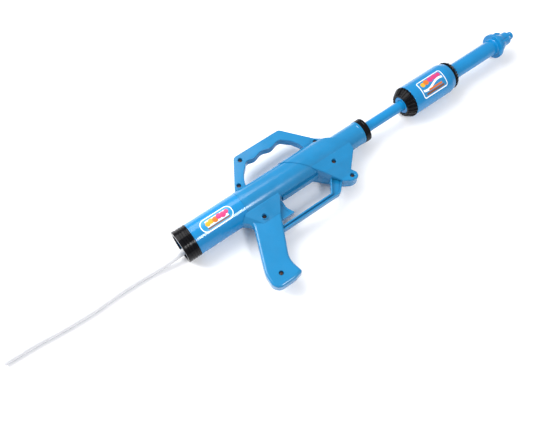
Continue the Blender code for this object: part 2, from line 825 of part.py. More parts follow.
def pump_grip():
    outer = (
        (REAR_CAP_END + GAP, SLEEVE_RADIUS),
        (SLEEVE_SHOULDER, SLEEVE_RADIUS),
        (SLEEVE_END, SLEEVE_MOUTH),
    )
    inner = (
        (REAR_CAP_END + GAP, SLEEVE_BORE),
        (SLEEVE_SHOULDER - 4.0, SLEEVE_BORE),
        (SLEEVE_SHOULDER, SLEEVE_MOUTH - 2.6),
        (SLEEVE_END, SLEEVE_MOUTH - 2.6),
    )
    place(turned(outer, inner), "grip_sleeve", "blue_gloss")
    spigot = SLEEVE_BORE - GAP
    outer = (
        (REAR_CAP_START, REAR_CAP_RIM),
        (REAR_CAP_END - 3.0, SLEEVE_RADIUS + 0.2),
        (REAR_CAP_END, SLEEVE_RADIUS + 0.2),
        (REAR_CAP_END, spigot),
        (REAR_CAP_END + 4.0, spigot),
    )
    inner = (
        (REAR_CAP_START, GLAND_RADIUS + GAP),
        (REAR_CAP_START + 3.0, GLAND_RADIUS + GAP),
        (REAR_CAP_END - 1.0, spigot - 2.4),
        (REAR_CAP_END + 4.0, spigot - 2.4),
    )
    cap = ribbed(turned(outer, inner, 2 * RIBS), REAR_CAP_START, REAR_CAP_END)
    place(cap, "grip_rear_cap", "black_plastic")
    spigot = SLEEVE_MOUTH - 2.6 - GAP
    start = SLEEVE_END + GAP
    outer = (
        (SLEEVE_SHOULDER, spigot),
        (start, spigot),
        (start, SLEEVE_MOUTH),
        (start + 2.5, SLEEVE_MOUTH),
        (FRONT_CAP_END, FRONT_CAP_RIM),
    )
    inner = (
        (SLEEVE_SHOULDER, spigot - 2.4),
        (FRONT_CAP_END - 3.0, spigot - 2.4),
        (FRONT_CAP_END - 3.0, CYLINDER_RADIUS + GAP),
        (FRONT_CAP_END, CYLINDER_RADIUS + GAP),
    )
    cap = ribbed(turned(outer, inner, 2 * RIBS), start, FRONT_CAP_END)
    place(cap, "grip_front_cap", "black_plastic")


def nozzle():
    start = FLANGE_END + GAP
    shoulder = NECK_END + GAP + 3.6
    outer = (
        (start, NOZZLE_RADIUS),
        (NOZZLE_END - 1.0, NOZZLE_RADIUS - 1.0),
        (NOZZLE_END, NOZZLE_RADIUS - 2.0),
    )
    inner = (
        (start, NECK_RADIUS + GAP),
        (shoulder, NECK_RADIUS + GAP),
        (shoulder, TIP_RADIUS + GAP),
        (NOZZLE_END, TIP_RADIUS + GAP),
    )
    cap = turned(outer, inner)
    lugs = []
    for turn in range(3):
        lug = box((start, NECK_RADIUS + 1.0, -LUG_WIDTH / 2.0), (LUG_END, LUG_RADIUS, LUG_WIDTH / 2.0))
        spin = math.tau * turn / 3.0
        middle = (NECK_RADIUS + 1.0 + LUG_RADIUS) / 2.0 * MM
        lug.location.y = middle * math.cos(spin)
        lug.location.z = middle * math.sin(spin)
        lug.rotation_euler.x = spin
        lugs.append(lug)
    bpy.context.view_layer.update()
    place(smooth(combine(cap, "UNION", lugs)), "nozzle_cap", "blue_gloss")
    base = NECK_END + GAP
    outer = (
        (base, NECK_RADIUS),
        (base + 3.3, NECK_RADIUS),
        (base + 3.3, TIP_RADIUS),
        (LENGTH - 0.6, TIP_RADIUS),
        (LENGTH, TIP_RADIUS - 0.6),
    )
    inner = ((base, BALL_RADIUS), (base + 4.0, BALL_RADIUS), (base + 6.0, TIP_BORE), (LENGTH, TIP_BORE))
    place(turned(outer, inner, 24), "nozzle_tip", "blue_gloss")


def trigger():
    blade = slab([rounded(TRIGGER_OUTLINE)], -TRIGGER_HALF, TRIGGER_HALF, 0.0, PIVOT)
    hole = post(*PIVOT, -10.0, 10.0, PIN_RADIUS + GAP, 12)
    recess = post(*PIVOT, TRIGGER_HALF - 3.2, TRIGGER_HALF + 3.0, 5.6)
    place(smooth(combine(blade, "DIFFERENCE", [hole, recess])), "trigger", "blue_gloss")
    pin = post(*PIVOT, -PIN_HALF, PIN_HALF, PIN_RADIUS, 12)
    place(smooth(pin), "trigger_pin", "steel")
    coil = []
    turns = 9 * SPRING_TURNS
    low = TRIGGER_HALF - 3.2 + SPRING_WIRE + GAP
    high = TRIGGER_HALF - SPRING_WIRE - 0.1
    for step in range(turns + 1):
        angle = math.tau * step / 9.0
        coil.append((
            PIVOT[0] + SPRING_RADIUS * math.cos(angle),
            PIVOT[1] + SPRING_RADIUS * math.sin(angle),
            low + (high - low) * step / turns,
        ))
    spring = tube(coil, SPRING_WIRE, (*PIVOT, 0.0))
    place(spring, "trigger_spring", "steel")


def screws():
    for name, x, y, surface in SCREWS:
        top = surface - HEAD_SUNK
        profile = (
            (SHANK_END, 0.0),
            (SHANK_END, SHANK_RADIUS),
            (top - HEAD_HEIGHT, SHANK_RADIUS),
            (top - HEAD_HEIGHT, HEAD_RADIUS),
            (top - HEAD_HEIGHT * 0.4, HEAD_RADIUS),
            (top, HEAD_RADIUS * 0.6),
            (top, 0.0),
        )
        screw = turned(profile, sides=16, upright=True)
        screw.location = (x * MM, y * MM, 0.0)
        place(screw, name, "steel")


clear_scene()
pieces = make_collection("hand_pump")
cutters = make_collection("cutters")
materials = {name: make_material(name) for name in COLOURS}
root = bpy.data.objects.new("root", None)
root.location = (-LENGTH / 2.0 * MM, -(HANDLE_TOP + GRIP_BUTT) / 2.0 * MM, AXIS_HEIGHT * MM)
pieces.objects.link(root)

rear_collar()
rear_tube()
label("tube_label", TUBE_LABEL, TUBE_RADIUS, 6.5)
housing()
front_collar()
rod()
hose_connector()
suction_hose()
piston()
pump_cylinder()
pump_grip()
label("grip_label", GRIP_LABEL, SLEEVE_RADIUS, 3.0)
nozzle()
trigger()
screws()
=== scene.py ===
"""Looks of the slide-action hand pump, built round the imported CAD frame.

Everything is laid out in the pump's own frame, in millimetres: X runs along the barrel from the
rear rim to the nozzle, Y points to the carry handle and Z up, with the barrel's axis at zero. The
last step of every piece carries it to its place in the CAD frame.
"""

import math

import bmesh
import bpy
from mathutils import Matrix, Vector


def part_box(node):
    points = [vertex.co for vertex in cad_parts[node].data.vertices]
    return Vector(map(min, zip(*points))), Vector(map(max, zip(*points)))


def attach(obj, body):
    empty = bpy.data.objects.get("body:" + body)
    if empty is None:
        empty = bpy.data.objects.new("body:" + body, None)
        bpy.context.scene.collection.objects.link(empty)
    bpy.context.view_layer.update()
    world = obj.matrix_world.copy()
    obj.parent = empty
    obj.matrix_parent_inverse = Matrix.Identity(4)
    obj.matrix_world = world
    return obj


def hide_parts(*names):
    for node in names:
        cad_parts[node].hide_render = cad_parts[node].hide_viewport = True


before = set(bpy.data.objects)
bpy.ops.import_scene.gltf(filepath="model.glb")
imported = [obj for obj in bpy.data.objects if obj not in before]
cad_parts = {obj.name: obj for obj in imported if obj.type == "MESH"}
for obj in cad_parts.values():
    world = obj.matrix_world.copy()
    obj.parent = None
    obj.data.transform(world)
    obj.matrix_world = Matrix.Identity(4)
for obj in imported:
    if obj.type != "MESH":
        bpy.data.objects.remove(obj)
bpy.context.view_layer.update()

MM = 0.001

rear_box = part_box("rear_collar")
rod_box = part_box("rod_tube")
ORIGIN = Vector((
    rear_box[0].x,
    (rod_box[0].y + rod_box[1].y) / 2.0,
    (rod_box[0].z + rod_box[1].z) / 2.0,
))
AXIS_HEIGHT = round(ORIGIN.z / MM, 3)

# Outlines seen from above: (x, y) corners with the radius of the round at each
HANDLE_TOP = 66.8
GRIP_BUTT = -122.2
HANDLE_OUTLINE = (
    (96.0, 14.0, 0.0),
    (129.5, HANDLE_TOP, 7.0),
    (205.5, HANDLE_TOP, 6.0),
    (238.0, 27.0, 9.0),
    (262.0, 9.0, 0.0),
)
GRIP_OUTLINE = (
    (94.0, -14.0, 0.0),
    (93.2, -34.5, 7.0),
    (67.6, -95.5, 40.0),
    (65.4, GRIP_BUTT, 12.0),
    (97.0, GRIP_BUTT, 8.0),
    (109.0, -119.5, 3.0),
    (104.4, -97.0, 30.0),
    (125.5, -55.5, 40.0),
    (141.0, -25.0, 0.0),
    (141.0, -14.0, 0.0),
)
BLOCK_OUTLINE = (
    (92.5, -13.0, 0.0),
    (92.5, -17.0, 1.5),
    (83.0, -21.5, 1.0),
    (91.2, -27.5, 8.0),
    (93.0, -38.5, 0.0),
    (133.0, -38.5, 0.0),
    (145.0, -20.0, 0.0),
    (145.0, -13.0, 0.0),
)
GUARD_OUTLINE = (
    (112.0, -53.6, 0.0),
    (206.0, -53.6, 3.0),
    (219.5, -34.0, 0.0),
    (232.0, -34.0, 0.0),
    (231.0, -46.0, 3.0),
    (217.5, -60.4, 8.0),
    (112.0, -60.4, 0.0),
)
SHIELD_OUTLINE = (
    (172.0, 25.0, 0.0),
    (173.0, 19.5, 3.0),
    (201.2, -11.8, 30.0),
    (213.5, -28.3, 30.0),
    (230.0, -50.5, 10.0),
    (240.0, -57.2, 10.0),
    (250.8, -57.2, 5.5),
    (252.4, -49.0, 2.5),
    (248.1, -42.6, 1.5),
    (267.0, -22.5, 3.0),
    (268.5, -12.0, 6.0),
    (249.0, 10.0, 20.0),
    (229.0, 25.0, 0.0),
)
TRIGGER_OUTLINE = (
    (133.2, -15.0, 2.5),
    (137.5, -12.9, 3.5),
    (142.0, -15.0, 3.0),
    (142.4, -19.5, 2.0),
    (146.0, -25.5, 4.0),
    (145.0, -36.0, 16.0),
    (150.5, -47.2, 1.2),
    (130.2, -47.0, 1.0),
    (131.0, -39.5, 6.0),
    (136.5, -26.0, 5.0),
    (133.2, -20.0, 2.0),
)
TRIGGER_PANEL = (
    (137.6, -28.0, 1.0),
    (142.4, -28.0, 1.0),
    (142.2, -36.5, 12.0),
    (145.6, -44.6, 1.0),
    (133.0, -44.6, 1.0),
    (134.0, -39.5, 5.0),
)
SLOT_OUTLINE = (
    (130.5, -11.5, 0.0),
    (144.5, -11.5, 0.0),
    (147.0, -24.0, 0.0),
    (153.0, -51.0, 0.0),
    (121.5, -51.0, 0.0),
    (123.0, -44.0, 0.0),
    (129.0, -25.0, 0.0),
)

# Half thicknesses, from the joint between the two shells
HANDLE_HALF = 6.5
GRIP_HALF = 9.0
BLOCK_HALF = 16.5
GUARD_HALF = 5.5
SHIELD_HALF = 20.5
TRIGGER_HALF = 4.2
PIN_HALF = 12.0
PIN_BOSS_HALF = 14.2
SEAM_HALF = 0.15

# Radii, walls and flats
GAP = 0.3
WALL = 2.2
BARREL_RADIUS = 22.9
BARREL_BORE = 18.7
NECK_RADIUS = 16.5
NECK_BORE = 14.6
TUBE_RADIUS = 22.7
TUBE_SPIGOT = 20.5
COLLAR_RADIUS = 23.2
SHIELD_RADIUS = AXIS_HEIGHT
ROD_RADIUS = 7.6
ROD_BORE = 5.4
ROD_HOLE = 8.0
SLEEVE_RADIUS = 22.6
FRONT_RING_RADIUS = 17.2
PIN_RADIUS = 1.5
KEEL = -19.5
RAIL_FACE = -22.2
CHANNEL_MARGIN = 2.1
CHANNEL_DEPTH = 3.0

# Places along the barrel, and the trigger's pin
TUBE_END = 97.0
BLOCK_MIDDLE = 115.0
BLOCK_REACH = 35.0
CLAMP_RINGS = (166.2, 178.3)
CLAMP_RING_WIDTH = 3.5
KEEL_SPAN = (145.0, 209.0)
RAIL_SPAN = (149.5, 214.0)
SHIELD_MIDDLE = 220.0
SHIELD_REACH = 60.0
PIVOT = (137.5, -17.5)

# Half height of a cutter that passes right through
THROUGH = 30.0

# Sections across the barrel: (height, y) corners with the radius of the round at each
BLOCK_SECTION = (
    (-BLOCK_HALF, -10.0, 0.0),
    (-BLOCK_HALF, -17.5, 1.5),
    (-GRIP_HALF, -39.0, 0.0),
    (GRIP_HALF, -39.0, 0.0),
    (BLOCK_HALF, -17.5, 1.5),
    (BLOCK_HALF, -10.0, 0.0),
)

# Wedge that slopes the shoulder block's rear corner: its place, its direction in degrees, and its
# section in height and outwards
BLOCK_CORNER = (92.7, -18.8)
BLOCK_CORNER_TURN = 230.3
BLOCK_CORNER_SECTION = ((-93.7, -60.0, 0.0), (0.0, 13.8, 0.0), (93.7, -60.0, 0.0))

SHIELD_SECTION = (
    (-SHIELD_HALF, -11.5, 0.0),
    (-17.0, -28.0, 20.0),
    (-9.5, -47.0, 12.0),
    (-9.5, -70.0, 0.0),
    (9.5, -70.0, 0.0),
    (9.5, -47.0, 12.0),
    (17.0, -28.0, 20.0),
    (SHIELD_HALF, -11.5, 0.0),
)

# Screws: node, x, y, height of the surface that each one sinks into, turn of its cross in degrees
GRIP_SCREW = (112.0, -31.5)
SCREWS = (
    ("screw_handle_top", 134.7, 58.1, HANDLE_HALF, 20.0),
    ("screw_handle_rear", 111.4, 27.1, HANDLE_HALF, 65.0),
    ("screw_web", 233.6, 19.8, 13.6, 40.0),
    ("screw_shield", 233.5, -22.1, 18.2, 10.0),
    ("screw_lug", 244.4, -50.2, 9.5, 75.0),
    ("screw_grip_top", *GRIP_SCREW, 11.0, 50.0),
    ("screw_grip_butt", 84.9, -106.3, GRIP_HALF, 30.0),
)
HEAD_RADIUS = 2.8
HEAD_HEIGHT = 2.0
HEAD_SUNK = 3.2
SHANK_RADIUS = 1.4
SHANK_END = -4.5
CROSS_REACH = 1.7
CROSS_HALF = 0.36
CROSS_DEPTH = 1.1
POST_RADIUS = 4.6
POST_SUNK = 1.9
GRIP_BOSS_RADIUS = 4.5
GRIP_BOSS_TOP = 12.3

# Hose, from its connector out of the open tube and over the floor
HOSE_RADIUS = 4.65
HOSE_BORE = 3.3
HOSE_FLOOR = HOSE_RADIUS - AXIS_HEIGHT + 0.05
HOSE_ROUTE = (
    (118.0, 0.0, 0.0),
    (95.0, -0.2, -1.6),
    (60.0, -1.0, -7.4),
    (30.0, -1.9, -11.2),
    (1.0, -2.4, -12.2),
    (-22.0, -2.2, -15.4),
    (-50.0, -0.2, HOSE_FLOOR),
    (-90.0, 0.9, HOSE_FLOOR),
    (-136.0, -0.9, HOSE_FLOOR),
    (-180.0, 1.0, HOSE_FLOOR),
    (-212.0, 3.7, HOSE_FLOOR),
    (-256.6, 5.5, HOSE_FLOOR),
)

# Viewpoint: direction in degrees, distance in metres, lens, and the point that the camera looks at
CAMERA_AZIMUTH = -35.51
CAMERA_ELEVATION = 67.21
CAMERA_DISTANCE = 0.7928
CAMERA_LENS = 40.53
CAMERA_TARGET = (111.4, -36.9, 0.0)
LAMP_TARGET = (230.0, -10.0, 0.0)
FLOOR_REACH = 6.0

# Numbers that repeat round the front pieces and along the handle
FINGER_PITCH = 28.0
CAP_RIBS = 24
LUGS = 3

# Labels: (rear, front, near, far) edges, border, heights of the skin's two faces over the surface,
# and the blur of printed edges
TUBE_LABEL = (33.0, 81.0, -12.0, 6.6)
GRIP_LABEL = (401.6, 445.0, -18.0, 6.4)
LABEL_BORDER = 1.1
LABEL_FACES = (0.1, 0.3)
BORDER_BLUR = 0.15
ART_BLUR = 0.2

PINK = (0.52, 0.035, 0.16)
ORANGE = (0.58, 0.14, 0.012)
YELLOW = (0.66, 0.34, 0.015)
BROWN = (0.17, 0.06, 0.02)
WHITE = (0.86, 0.88, 0.90)

# Label art from the label's middle: x, y, radius or half width, and colour. A band also has its half
# length, and the turn for each millimetre and the height of its wave
TUBE_ART = (
    (0.5, 0.6, 4.6, WHITE, 16.0, 0.0, 0.0),
    (-13.0, 0.4, 3.6, YELLOW),
    (-7.6, 1.6, 3.9, YELLOW),
    (-1.6, 0.6, 4.1, ORANGE),
    (4.4, 1.8, 4.0, PINK),
    (10.2, 0.8, 4.2, PINK),
    (15.6, 2.0, 3.2, PINK),
    (0.5, -5.6, 0.9, BROWN, 16.5, 0.0, 0.0),
)
GRIP_ART = (
    (-14.0, 5.0, 3.6, YELLOW),
    (-7.4, 6.0, 4.2, ORANGE),
    (0.4, 6.6, 4.3, PINK),
    (8.2, 6.8, 4.5, PINK),
    (15.2, 6.8, 3.4, PINK),
    (0.0, -1.2, 1.5, WHITE, 18.5, 0.13, 3.2),
    (2.0, -5.4, 1.3, ORANGE, 12.0, 0.0, 0.0),
    (0.0, -8.8, 1.2, BROWN, 16.0, 0.0, 0.0),
)


def at(x, y, z):
    """A point of the pump's own frame, in metres of the CAD frame."""
    return ORIGIN + Vector((x, y, z)) * MM


# ---------------------------------------------------------------- shapes

def scratch(mesh):
    """A work object with this data, linked to the scene."""
    obj = bpy.data.objects.new("scratch", mesh)
    bpy.context.scene.collection.objects.link(obj)
    return obj


def evaluated(obj):
    """The object's modifiers or curve turned into a mesh."""
    graph = bpy.context.evaluated_depsgraph_get()
    graph.update()
    mesh = bpy.data.meshes.new_from_object(obj.evaluated_get(graph))
    shape = bmesh.new()
    shape.from_mesh(mesh)
    bmesh.ops.remove_doubles(shape, verts=shape.verts, dist=0.002 * MM)
    bmesh.ops.dissolve_degenerate(shape, edges=shape.edges, dist=0.001 * MM)
    shape.to_mesh(mesh)
    shape.free()
    bpy.data.objects.remove(obj)
    return scratch(mesh)


def combine(target, operation, tools):
    """Boolean of the target with each tool in turn. The tools are used up."""
    for other in tools:
        modifier = target.modifiers.new(operation.lower(), "BOOLEAN")
        modifier.operation = operation
        modifier.solver = "EXACT"
        modifier.object = other
        target = evaluated(target)
        bpy.data.objects.remove(other)
    return target


def rounded(corners, steps=5):
    """Closed outline through (x, y, radius) corners, each one rounded by an arc."""
    points = []
    for i, (x, y, radius) in enumerate(corners):
        corner = Vector((x, y))
        if radius == 0.0:
            points.append(corner)
            continue
        before = (Vector(corners[i - 1][:2]) - corner).normalized()
        after = (Vector(corners[(i + 1) % len(corners)][:2]) - corner).normalized()
        half = before.angle(after) / 2.0
        reach = radius / math.tan(half)
        centre = corner + (before + after).normalized() * radius / math.sin(half)
        start = corner + before * reach - centre
        turn = start.angle_signed(corner + after * reach - centre)
        for step in range(steps + 1):
            angle = -turn * step / steps
            points.append(centre + Vector((
                start.x * math.cos(angle) - start.y * math.sin(angle),
                start.x * math.sin(angle) + start.y * math.cos(angle),
            )))
    return points


def inset(corners, distance):
    """The corners moved inwards, so that each side shifts by the distance."""
    area = sum(a[0] * b[1] - b[0] * a[1] for a, b in zip(corners, corners[1:] + corners[:1]))
    side = math.copysign(distance, area)
    moved = []
    for i, (x, y, radius) in enumerate(corners):
        before = (Vector((x, y)) - Vector(corners[i - 1][:2])).normalized()
        after = (Vector(corners[(i + 1) % len(corners)][:2]) - Vector((x, y))).normalized()
        bisector = Vector((-before.y - after.y, before.x + after.x)).normalized()
        reach = side / bisector.dot(Vector((-before.y, before.x)))
        moved.append((x + bisector.x * reach, y + bisector.y * reach, radius))
    return tuple(moved)


def slab(outlines, low, high, bevel=0.0, steps=2):
    """Flat outlines, holes included, standing from one height to another."""
    curve = bpy.data.curves.new("outline", "CURVE")
    curve.dimensions = "2D"
    curve.fill_mode = "BOTH"
    curve.extrude = ((high - low) / 2.0 - bevel) * MM
    curve.bevel_depth = bevel * MM
    curve.bevel_resolution = steps
    curve.offset = -bevel * MM
    for outline in outlines:
        spline = curve.splines.new("POLY")
        spline.points.add(len(outline) - 1)
        spline.use_cyclic_u = True
        for point, (x, y) in zip(spline.points, outline):
            point.co = (x * MM, y * MM, 0.0, 1.0)
    obj = evaluated(scratch(curve))
    obj.data.transform(Matrix.Translation((0.0, 0.0, (high + low) / 2.0 * MM)))
    return obj


def lathe(corners, sides=96, steps=3, radius_at=None):
    """Solid turned about the barrel's axis from closed (x, radius, round) corners.

    With radius_at, each point's radius also depends on its place and its angle.
    """
    outline = rounded(corners, steps)
    shape = bmesh.new()
    rings = []
    for k in range(sides):
        angle = math.tau * k / sides
        loop = []
        for point in outline:
            radius = point.y if radius_at is None else radius_at(point.x, point.y, angle)
            loop.append(shape.verts.new((
                point.x * MM, radius * MM * math.cos(angle), radius * MM * math.sin(angle),
            )))
        rings.append(loop)
    for a, b in zip(rings, rings[1:] + rings[:1]):
        for i in range(len(outline)):
            j = (i + 1) % len(outline)
            if outline[i].y > 1e-6 or outline[j].y > 1e-6:
                shape.faces.new((a[i], a[j], b[j], b[i]))
    bmesh.ops.remove_doubles(shape, verts=shape.verts, dist=0.001 * MM)
    bmesh.ops.recalc_face_normals(shape, faces=shape.faces)
    mesh = bpy.data.meshes.new("turned")
    shape.to_mesh(mesh)
    shape.free()
    return scratch(mesh)


def ring(start, end, inner, outer, edge=0.0):
    """Corners of a plain ring about the barrel's axis, or of a bar if it has no inner radius."""
    return [(start, inner, 0.0), (start, outer, edge), (end, outer, edge), (end, inner, 0.0)]


def post(x, y, profile, sides=32):
    """Upright turned solid at a place, from (height, radius) points closed on its own axis."""
    ends = [(profile[0][0], 0.0), *profile, (profile[-1][0], 0.0)]
    obj = lathe([(height, radius, 0.0) for height, radius in ends], sides)
    turn = Matrix.Rotation(math.radians(-90.0), 4, "Y")
    obj.data.transform(Matrix.Translation((x * MM, y * MM, 0.0)) @ turn)
    return obj


def block_between(low, high):
    """Plain block between its lowest and highest corners."""
    mesh = bpy.data.meshes.new("block")
    shape = bmesh.new()
    bmesh.ops.create_cube(shape, size=1.0)
    for vertex in shape.verts:
        vertex.co = [
            (a if value < 0.0 else b) * MM for value, a, b in zip(vertex.co, low, high)
        ]
    shape.to_mesh(mesh)
    shape.free()
    return scratch(mesh)


def piece(obj, name, body, material, nodes, sharp=32.0):
    """Carries a built shape into the CAD frame, where it stands for the CAD nodes named."""
    obj.name = name
    obj.data.name = name
    obj.data.transform(Matrix.Translation(ORIGIN))
    obj.data.shade_smooth()
    obj.data.set_sharp_from_angle(angle=math.radians(sharp))
    weighted = obj.modifiers.new("weighted", "WEIGHTED_NORMAL")
    weighted.keep_sharp = True
    obj.data.materials.clear()
    obj.data.materials.append(material)
    bpy.context.view_layer.update()
    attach(obj, body)
    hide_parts(*nodes)


# ---------------------------------------------------------------- materials

class Nodes:
    """Short hand for the node tree of one material."""

    def __init__(self, name):
        self.material = bpy.data.materials.new(name)
        self.material.use_nodes = True
        self.tree = self.material.node_tree
        self.shader = self.tree.nodes["Principled BSDF"]
        self.place = self.add("ShaderNodeTexCoord").outputs["Object"]

    def add(self, kind, **settings):
        node = self.tree.nodes.new(kind)
        for key, value in settings.items():
            setattr(node, key, value)
        return node

    def join(self, source, target):
        self.tree.links.new(source, target)

    def feed(self, target, source):
        """Gives a socket a number, a colour or the output of another node."""
        if isinstance(source, tuple):
            target.default_value = (*source, 1.0)
        elif isinstance(source, (int, float)):
            target.default_value = source
        else:
            self.join(source, target)

    def maths(self, operation, a, b=0.0, clamp=False):
        node = self.add("ShaderNodeMath", operation=operation, use_clamp=clamp)
        self.feed(node.inputs[0], a)
        self.feed(node.inputs[1], b)
        return node.outputs[0]

    def distance(self, a, b):
        """Length of the slope over two sides at a right angle."""
        squares = [self.maths("MULTIPLY", side, side) for side in (a, b)]
        return self.maths("SQRT", self.maths("ADD", *squares))

    def moved(self, scale, turn=0.0):
        """The object's own coordinates, scaled and turned about the upright by some degrees."""
        node = self.add("ShaderNodeMapping")
        self.join(self.place, node.inputs["Vector"])
        node.inputs["Scale"].default_value = scale
        node.inputs["Rotation"].default_value = (0.0, 0.0, math.radians(turn))
        return node.outputs["Vector"]

    def noise(self, scale, detail, rough, place=None):
        node = self.add("ShaderNodeTexNoise")
        self.join(place or self.place, node.inputs["Vector"])
        node.inputs["Scale"].default_value = scale
        node.inputs["Detail"].default_value = detail
        node.inputs["Roughness"].default_value = rough
        return node.outputs["Fac"]

    def ranged(self, source, low, high, to_low=0.0, to_high=1.0):
        node = self.add("ShaderNodeMapRange")
        self.join(source, node.inputs["Value"])
        node.inputs["From Min"].default_value = low
        node.inputs["From Max"].default_value = high
        node.inputs["To Min"].default_value = to_low
        node.inputs["To Max"].default_value = to_high
        return node.outputs["Result"]

    def cloudy(self, scale, detail, rough, to_low=0.0, to_high=1.0):
        """Noise whose middle values run from one number to the other."""
        return self.ranged(self.noise(scale, detail, rough), 0.3, 0.7, to_low, to_high)

    def within(self, source, limit, blur):
        """One where the source is under the limit and nought beyond it, with a soft edge."""
        return self.ranged(source, limit - blur, limit + blur, 1.0, 0.0)

    def mix(self, factor, a, b):
        node = self.add("ShaderNodeMix", data_type="RGBA")
        self.feed(node.inputs[0], factor)
        self.feed(node.inputs[6], a)
        self.feed(node.inputs[7], b)
        return node.outputs[2]

    def bump(self, height, strength, depth, before=None):
        node = self.add("ShaderNodeBump")
        node.inputs["Strength"].default_value = strength
        node.inputs["Distance"].default_value = depth * MM
        self.join(height, node.inputs["Height"])
        if before is not None:
            self.join(before, node.inputs["Normal"])
        return node.outputs["Normal"]

    def finish(self, colour, roughness, normal=None, **sockets):
        self.feed(self.shader.inputs["Base Color"], colour)
        self.feed(self.shader.inputs["Roughness"], roughness)
        if normal is not None:
            self.join(normal, self.shader.inputs["Normal"])
        for key, value in sockets.items():
            self.shader.inputs[key.replace("_", " ")].default_value = value
        return self.material


def scaled(colour, share):
    """The colour made lighter or darker."""
    return tuple(min(1.0, value * share) for value in colour)


def moulded(name, colour, roughness, grain, wave, scuff, spread, **sockets):
    """Moulded plastic: cloudy pigment, flow waves, fine grain, and hairline scuffs that dull it."""
    net = Nodes(name)
    cloud = net.cloudy(38.0, 3.0, 0.55)
    tint = net.mix(cloud, scaled(colour, 1.0 - spread), scaled(colour, 1.0 + spread))
    flow = net.noise(7.0, 2.0, 0.5, net.moved((1.0, 3.0, 3.0)))
    flow = net.ranged(flow, 0.35, 0.65, 0.0, 0.35)
    tint = net.mix(flow, tint, scaled(colour, 1.0 + 1.6 * spread))
    lines = net.noise(95.0, 4.0, 0.7, net.moved((1.0, 9.0, 9.0), 24.0))
    cross = net.noise(120.0, 4.0, 0.7, net.moved((8.0, 1.0, 8.0), 63.0))
    worn = net.maths(
        "MAXIMUM", net.ranged(lines, 0.66, 0.76), net.ranged(cross, 0.68, 0.78),
    )
    tint = net.mix(net.maths("MULTIPLY", worn, 0.22 * scuff), tint, (0.75, 0.82, 0.88))
    dull = net.cloudy(55.0, 4.0, 0.6, roughness - 0.05, roughness + 0.07)
    dull = net.maths("ADD", dull, net.maths("MULTIPLY", worn, 0.25 * scuff), clamp=True)
    normal = net.bump(net.noise(420.0, 2.0, 0.5), wave, 0.05)
    normal = net.bump(net.noise(3600.0, 3.0, 0.6), grain, 0.02, normal)
    return net.finish(tint, dull, normal, **sockets)


def metal(name, colour, roughness, stain=None):
    """Plated steel: brushed variation, pits and, where it is old, brown stain."""
    net = Nodes(name)
    patch = net.cloudy(900.0, 4.0, 0.65)
    tint = net.mix(patch, scaled(colour, 0.8), scaled(colour, 1.15))
    dull = net.cloudy(2200.0, 3.0, 0.6, roughness - 0.08, roughness + 0.14)
    if stain is not None:
        spots = net.ranged(net.noise(700.0, 5.0, 0.7), 0.46, 0.58)
        tint = net.mix(net.maths("MULTIPLY", spots, 0.75), tint, stain)
        dull = net.maths("ADD", dull, net.maths("MULTIPLY", spots, 0.3), clamp=True)
    normal = net.bump(net.noise(5200.0, 3.0, 0.6), 0.3, 0.02)
    return net.finish(tint, dull, normal, Metallic=0.9)


def soft_rubber():
    """Seal: near black, with a grey bloom."""
    net = Nodes("rubber_seal")
    bloom = net.ranged(net.noise(260.0, 4.0, 0.6), 0.35, 0.7)
    tint = net.mix(bloom, (0.014, 0.014, 0.015), (0.034, 0.034, 0.037))
    dull = net.cloudy(800.0, 3.0, 0.6, 0.6, 0.85)
    return net.finish(tint, dull, net.bump(net.noise(4200.0, 3.0, 0.6), 0.5, 0.03))


def clear_vinyl_painted_shade():
    """Clear hose: a pale, slightly hazy wall, with painted shade that darkens it where it is seen edge
    on.
    """
    net = Nodes("clear_vinyl_painted_shade")
    tint = net.mix(net.cloudy(46.0, 3.0, 0.6), (0.78, 0.79, 0.81), (0.84, 0.84, 0.86))
    # Painted shade: the wall's colour turns grey-lavender where it is seen edge on, in place of the
    # darker rims that light gives a clear tube
    facing = net.add("ShaderNodeLayerWeight")
    facing.inputs["Blend"].default_value = 0.5
    edge = net.ranged(facing.outputs["Facing"], 0.40, 0.85)
    tint = net.mix(edge, tint, (0.46, 0.46, 0.53))
    dull = net.cloudy(30.0, 3.0, 0.6, 0.10, 0.16)
    return net.finish(tint, dull, IOR=1.30, Transmission_Weight=0.30)


